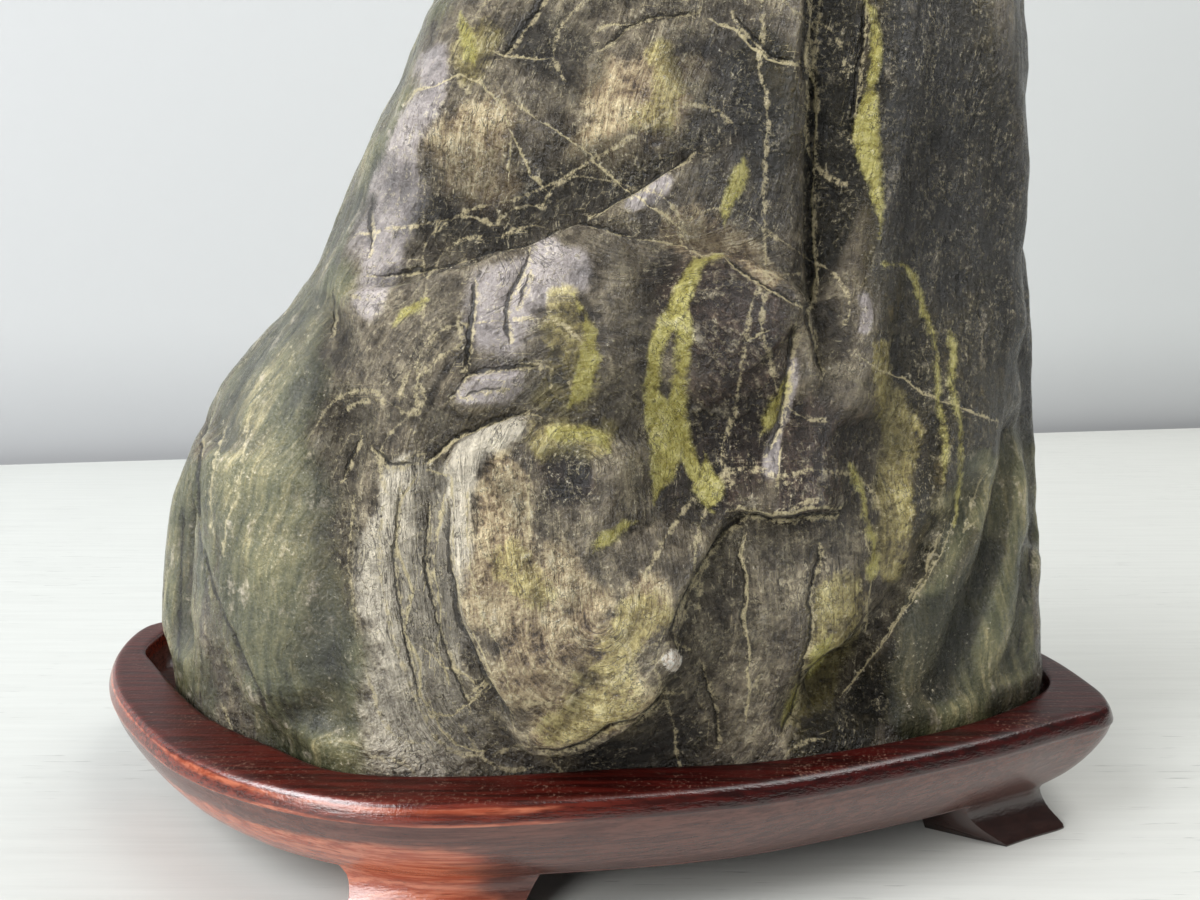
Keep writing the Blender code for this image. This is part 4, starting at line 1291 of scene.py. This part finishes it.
FINE_STAND_FRONT_COLUMNS = 420
FINE_STAND_BACK_COLUMNS = 260
PROFILE_STEPS = 5
# The rim's edge, rounded, as (inset, height).
ROUND_RIM_EDGE = [
    (6.0, 31.0), (3.6, 31.0), (2.6, 30.95), (1.9, 30.75), (1.3, 30.35), (0.85, 29.7), (0.5, 28.9),
    (0.2, 28.0), (0.0, 27.3), (0.0, 26.9), (0.25, 26.5),
]
# The lip of the recess, rounded, as (outset, drop) in widths of the lip, below the top of the rim.
ROUND_LIP = [(0.3, 0.3), (1.0, 0.0), (2.5, 0.0)]
WALL_START = (0.03, 26.0)
# Even stations nearer to a foot's break than this share of a column are left out.
STATION_CLEARANCE = 0.3
# Up to this ring the stand can hold dust, and from it on its edge can be worn and lit.
RIM_RING = 9
# Heights: of the worn and lit edge and of the arris below it, with the reach of each, and of the dust.
WORN_LIT_EDGE, WORN_LIT_EDGE_SIZE = 29.4, 0.6
ARRIS, ARRIS_SIZE = 27.0, 0.5
DUST_FROM, DUST_FULL = 30.4, 30.9


def inward(points):
    """Unit directions, in plan, from a closed outline to its inside."""
    along = np.roll(points, -1, axis=0) - np.roll(points, 1, axis=0)
    normal = np.c_[-along[:, 1], along[:, 0]]
    return normal / np.linalg.norm(normal, axis=1, keepdims=True)


def outline_distances():
    """The rim's outline as one closed run of points, with each one's distance and station."""
    front, back = split_curve(RIM_PLAN)
    run = np.r_[front[:-1], back]
    distance = distance_along(run)
    turn = distance[len(front) - 1]
    station = np.where(distance < turn, distance / turn,
                       1 + (distance - turn) / (distance[-1] - turn))
    return run, distance, station


def foot_breaks():
    """For each foot, the four distances along the rim where it starts, is full, is full and ends."""
    run, distance, _ = outline_distances()
    breaks = []
    for middle, half_length, left_run, right_run in FEET.values():
        under = run * np.array(UNDERSIDE_SCALE)
        centre = distance[int(np.linalg.norm(under - np.array(middle), axis=1).argmin())]
        steps = (-half_length - left_run, -half_length, half_length, half_length + right_run)
        breaks.append([centre + step for step in steps])
    return breaks


def foot_share(stations):
    """How much of a foot each station has: 0 between feet, 1 on a foot, and between on its flanks."""
    _, distance, station = outline_distances()
    at = np.interp(stations, station, distance)
    share = np.zeros(len(stations))
    for breaks in foot_breaks():
        for turn in (-1, 0, 1):
            reach = at + turn * distance[-1]
            share = np.maximum(share, np.interp(reach, breaks, [0, 1, 1, 0]))
    return share


def stand_stations(front_columns, back_columns):
    """Even stations, and one at each place where a foot's flank starts or ends."""
    _, distance, station = outline_distances()
    corners = np.interp(np.mod(np.ravel(foot_breaks()), distance[-1]), distance, station)
    even = even_stations(front_columns, back_columns)
    apart = np.abs(even[:, None] - corners[None, :]).min(axis=1) > STATION_CLEARANCE / front_columns
    return np.sort(np.r_[even[apart], corners])


def stand_rings(stations):
    """The stand's rings as in the CAD part, with rounded edges and more rings."""
    rim = plan_points(RIM_PLAN, stations)
    recess = plan_points(RECESS_PLAN, stations)
    to_underside = rim * np.array(UNDERSIDE_SCALE) - rim
    inner = rim * np.array(INNER_FOOT_SCALE)
    foot = foot_share(stations)
    rings = [
        (recess, RECESS_FLOOR),
        (recess, RIM_TOP - 3 * RECESS_LIP),
        (recess, RIM_TOP - RECESS_LIP),
    ]
    rings += [(recess - inward(recess) * outset * RECESS_LIP, RIM_TOP - drop * RECESS_LIP)
              for outset, drop in ROUND_LIP]
    rings += [(rim + inward(rim) * inset, height) for inset, height in ROUND_RIM_EDGE]
    wall = smooth_line([WALL_START] + WALL_PROFILE, PROFILE_STEPS)[:-1]
    rings += [(rim + to_underside * share, height) for share, height in wall]
    shares, heights = smooth_line(FOOT_PROFILE, PROFILE_STEPS)[::-1].T
    for height in heights[::-1]:
        reached = BOARD_UNDERSIDE - (BOARD_UNDERSIDE - height) * foot
        share = np.interp(reached, heights, shares)[:, None]
        rings.append((rim + to_underside * share, reached))
    rings.append((inner, BOARD_UNDERSIDE * (1 - foot)))
    rings.append((inner, BOARD_UNDERSIDE))
    level = np.ones(len(stations))
    return np.array([np.c_[ring, height * level] for ring, height in rings])


def stand_edges_and_dust(points):
    """For each point: nearness to the rim's rounded edge and to the arris, and dust on the rim."""
    heights = points[..., 2]
    ring = np.arange(len(points))[:, None]
    top_edge = np.where(ring >= RIM_RING, np.exp(-((heights - WORN_LIT_EDGE) / WORN_LIT_EDGE_SIZE)**2), 0)
    arris = np.where(ring >= RIM_RING, np.exp(-((heights - ARRIS) / ARRIS_SIZE)**2), 0)
    dust = np.where(ring <= RIM_RING, smooth_step(DUST_FROM, DUST_FULL, heights), 0)
    return np.stack([top_edge, arris, dust], axis=-1)


def make_stand():
    """The board with its recess, rim and carved feet."""
    points = stand_rings(stand_stations(FINE_STAND_FRONT_COLUMNS, FINE_STAND_BACK_COLUMNS))
    centre = points[:, :, :2].mean(axis=(0, 1))
    caps = [[*centre, BOARD_UNDERSIDE], [*centre, RECESS_FLOOR]]
    edges_and_dust = stand_edges_and_dust(points)[::-1]
    mesh = closed_grid_mesh("carved_stand", points[::-1], caps, {"edges_and_dust": edges_and_dust})
    return add_object("carved_stand", mesh, wood_material())


# Screen colours of the wood's parts: in the dark streaks of its grain, and between them.
WOOD_BODY = (colour(76, 42, 36), colour(100, 62, 53))
# Above the arris the lacquer is much darker than below it: partly its deep red, and partly painted shade
# for the dark that the rounded edge reflects. It goes lighter and redder towards the left end, as painted
# light where the light falls.
SHADED_BAND = (colour(30, 4, 3), colour(60, 12, 9))
LIT_RED_BAND = (colour(74, 26, 18), colour(116, 46, 32))
# Partly rubbed lacquer and partly painted light: orange-pink where the edges and the low front-left wall
# catch the light.
RUBBED_AND_LIT_WOOD = (colour(164, 78, 52), colour(202, 122, 92))
PORE_COLOUR = colour(26, 8, 7)
DUST_COLOUR = colour(140, 108, 92)
# Painted shade: low on the wall and feet at the right end the wood is darkened nearly to black.
LOW_RIGHT_SHADE_COLOUR = colour(20, 11, 9)


def wood_wear_and_light(s, place, patch, top_edge, arris, dust):
    """How much each place is worn and lit: along the rim's edge and arris, most at the left end, and low on
    the wall at the front left; partly rubbed lacquer and partly painted light where the light falls from
    the left.
    """
    across, depth, up = place
    lit_edge_wear = s.largest(top_edge, arris * 0.9) * across.ramp(30.0, -20.0, 0.1, 1.15)
    lit_edge_wear = (lit_edge_wear + patch.swing(1.8)).ramp(0.5, 1.0, 0.0, 0.8)
    lit_low_wear = up.ramp(27.0, 17.0) * across.ramp(0.0, -30.0) * depth.ramp(10.0, -10.0)
    lit_low_wear = (lit_low_wear + patch.swing(1.6)).ramp(0.35, 0.95)
    return s.largest(lit_edge_wear, lit_low_wear) * dust.ramp(1.0, 0.5)


def wood_material():
    """Dark red-brown lacquer over hardwood, dusty on top, orange along its edges and low at the front left
    as partly wear and partly painted light, with painted shade above the arris and low at the right end.
    """
    s = Shader("lacquered_hardwood")
    top_edge, arris, dust = s.attribute("edges_and_dust").split()
    place = s.object_place().scaled(*MM_IN_METRE)
    across, depth, up = place.split()
    grain = s.noise(place.scaled(0.04, 0.7, 0.9), 1.0, 4.0, 0.65)
    pores = s.noise(place.scaled(0.2, 2.6, 2.6), 1.0, 2.0, 0.6)
    patch = s.noise(place.scaled(0.035, 0.06, 0.16), 1.0, 4.0, 0.65)
    grit = s.noise(place, 1.3, 3.0, 0.7)
    body, shaded_band, lit_red_band = (
        s.mix(grain.ramp(0.38, 0.62), *pair) for pair in (WOOD_BODY, SHADED_BAND, LIT_RED_BAND))
    # Painted shade and light: the band and rim above the arris take the shaded colour at the right and the
    # lit red one at the left, less of the red where dust lies.
    lit_redness = across.ramp(40.0, -40.0) * dust.ramp(1.0, 0.3, 0.25, 1.0)
    base = s.mix(up.ramp(26.6, 27.2), body, s.mix(lit_redness, shaded_band, lit_red_band))
    worn_and_lit = wood_wear_and_light(s, (across, depth, up), patch, top_edge, arris, dust)
    # Orange-pink where the edges and the low front-left wall are worn and lit: partly rubbed lacquer,
    # partly painted light.
    base = s.mix(worn_and_lit * 0.9, base, s.mix(grain.ramp(0.4, 0.6), *RUBBED_AND_LIT_WOOD))
    base = s.mix(pores.ramp(0.56, 0.7) * 0.35, base, PORE_COLOUR)
    specks = (grit + patch.swing(0.5)).ramp(0.58, 0.72) * dust
    base = s.mix(specks * 0.45, base, DUST_COLOUR)
    # Painted shade: below about 13 mm, at the right end, the wood goes nearly black.
    low_right_shade = up.ramp(13.0, 6.0) * across.ramp(55.0, 80.0)
    base = s.mix(low_right_shade * 0.8, base, LOW_RIGHT_SHADE_COLOUR)
    # The lacquer's own value stays beside the link.
    s.surface.inputs["IOR"].default_value = 1.65
    return s.finish({
        "Base Color": base,
        "IOR": dust.ramp(0.0, 1.0, 1.7, 1.28),
        "Roughness": (dust + grit.swing(0.6)).ramp(0.0, 1.0, 0.17, 0.34),
        "Normal": s.bump(0.25, 0.0006, grain * 0.6 + pores * 0.4 + grit * 0.5),
    })


# --- Floor, wall, lights and camera ---------------------------------------------------------------

# Two places on the table's far edge, and how far the table and the wall reach, in metres.
TABLE_EDGE = [(-0.459, 0.470), (0.604, 0.674)]
STAGE_SIDE = 1.9
TABLE_FRONT = -1.6
WALL_GAP = 0.02
WALL_BOTTOM, WALL_TOP = -0.4, 1.6
# Painted shade: the table is a little darker at the left, to even out the stronger light there.
TABLE_COLOURS = (colour(196, 198, 194), colour(204, 205, 200))
HAIR_COLOUR = colour(140, 142, 140)
# Painted shade: the wall is darker towards its foot, by the table's edge, and darker towards the left, to
# even out the stronger light there.
SHADED_WALL_FOOT = (colour(174, 176, 178), colour(188, 190, 191))
HIGH_WALL = (colour(192, 194, 195), colour(212, 215, 215))
# The pale surround gives little light, and looks as pale as the wall.
SURROUND_COLOUR = (0.90, 0.92, 0.93, 1.0)
SURROUND_LIGHT = 0.1
SURROUND_SEEN = 0.65
# Lights: place, size (across, up), power in watts and tint. They are aimed at the object's middle.
MIDDLE = (0.0, 0.0, 0.12)
LIGHTS = {
    "window": ((-1.35, -0.65, 1.5), (1.0, 1.0), 44.0, (0.95, 0.97, 1.0)),
    "ceiling": ((1.0, -0.1, 1.9), (1.6, 1.4), 28.0, (1.0, 0.99, 0.97)),
    "room": ((-1.05, -1.2, 0.7), (0.7, 0.9), 17.0, (1.0, 0.98, 0.97)),
}


def flat_sheet(name, corners, material):
    """A flat four-cornered sheet."""
    mesh = bpy.data.meshes.new(name)
    mesh.from_pydata(corners, [], [(0, 1, 2, 3)])
    sheet = add_object(name, mesh, material)


def floor_material():
    """Matt white paint with a faint grain along the table, and short hairline cracks in it, a little darker
    towards the left as painted shade.
    """
    s = Shader("white_table")
    place = s.object_place()
    lines = s.noise(place.scaled(14.0, 300.0, 1.0), 1.0, 3.0, 0.6)
    hairs = s.noise(place.scaled(45.0, 900.0, 1.0), 1.0, 3.0, 0.6)
    patch = s.noise(place, 9.0, 3.0, 0.6)
    # Painted shade: darker towards the left, where the light is stronger.
    pale = s.mix(place.split()[0].ramp(-0.25, 0.25), *TABLE_COLOURS)
    tone = s.mix(lines.ramp(0.3, 0.7), pale.dim(0.97), pale.dim(1.03))
    hair = hairs.ramp(0.62, 0.68) * patch.ramp(0.45, 0.6)
    tone = s.mix(hair * 0.45, tone, HAIR_COLOUR)
    bump = s.bump(0.3, 0.0004, lines - hair)
    return s.finish({"Base Color": tone, "Roughness": 0.55, "Normal": bump})


def wall_material():
    """Matt pale grey paint, darker towards its foot and towards the left as painted shade."""
    s = Shader("pale_wall")
    across, _, up = s.object_place().split()
    side = across.ramp(-0.6, 0.5)
    # Painted shade: darker low down by the table's edge, and towards the left where the light is stronger.
    tone = s.mix(up.ramp(0.0, 0.12), s.mix(side, *SHADED_WALL_FOOT), s.mix(side, *HIGH_WALL))
    return s.finish({"Base Color": tone, "Roughness": 0.9})


def make_stage():
    """The white table with a pale wall behind it."""
    (ax, ay), (bx, by) = TABLE_EDGE
    slope = (by - ay) / (bx - ax)
    ends = [(side, ay + slope * (side - ax)) for side in (-STAGE_SIDE, STAGE_SIDE)]
    table = [(x, TABLE_FRONT, 0) for x, _ in ends] + [(x, y, 0) for x, y in ends[::-1]]
    wall = [(x, y + WALL_GAP, WALL_BOTTOM) for x, y in ends]
    wall += [(x, y + WALL_GAP, WALL_TOP) for x, y in ends[::-1]]
    flat_sheet("white_table", table, floor_material())
    flat_sheet("pale_wall", wall, wall_material())


def add_area_light(name, location, size, power, tint):
    """A soft rectangular light aimed at the object's middle."""
    light = bpy.data.lights.new(name, "AREA")
    light.shape = "RECTANGLE"
    light.size, light.size_y = size
    light.energy = power
    light.color = tint
    lamp = bpy.data.objects.new(name, light)
    lamp.location = location
    lamp.rotation_euler = (Vector(MIDDLE) - Vector(location)).to_track_quat("-Z", "Y").to_euler()
    bpy.context.scene.collection.objects.link(lamp)


def make_lights():
    """Soft daylight from the left and above, with a dim pale surround."""
    world = bpy.data.worlds.new("pale_surround")
    bpy.context.scene.world = world
    world.use_nodes = True
    background = world.node_tree.nodes["Background"]
    background.inputs["Color"].default_value = SURROUND_COLOUR
    seen = world.node_tree.nodes.new("ShaderNodeLightPath").outputs["Is Camera Ray"]
    strength = world.node_tree.nodes.new("ShaderNodeMapRange")
    strength.inputs["To Min"].default_value = SURROUND_LIGHT
    strength.inputs["To Max"].default_value = SURROUND_SEEN
    world.node_tree.links.new(seen, strength.inputs["Value"])
    world.node_tree.links.new(strength.outputs[0], background.inputs["Strength"])
    for name, (location, size, power, tint) in LIGHTS.items():
        add_area_light(name, location, size, power, tint)


def make_camera():
    """The camera at the viewing angle that the features are placed from."""
    data = bpy.data.cameras.new("camera")
    data.sensor_width = SENSOR_WIDTH
    data.lens = FOCAL_PIXELS / IMAGE_SIZE[0] * SENSOR_WIDTH
    data.clip_start = 0.01
    camera = bpy.data.objects.new("camera", data)
    camera.location = Vector(CAMERA_SPOT) * MM
    camera.rotation_euler = (math.pi / 2 - CAMERA_TILT_DOWN, 0.0, 0.0)
    bpy.context.scene.collection.objects.link(camera)
    bpy.context.scene.camera = camera


bpy.context.scene.view_settings.view_transform = "Standard"
make_camera()
make_stage()
make_lights()
rock = make_stone()
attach(rock, "root")
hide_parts("stone")
stand = make_stand()
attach(stand, "root")
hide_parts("stand")
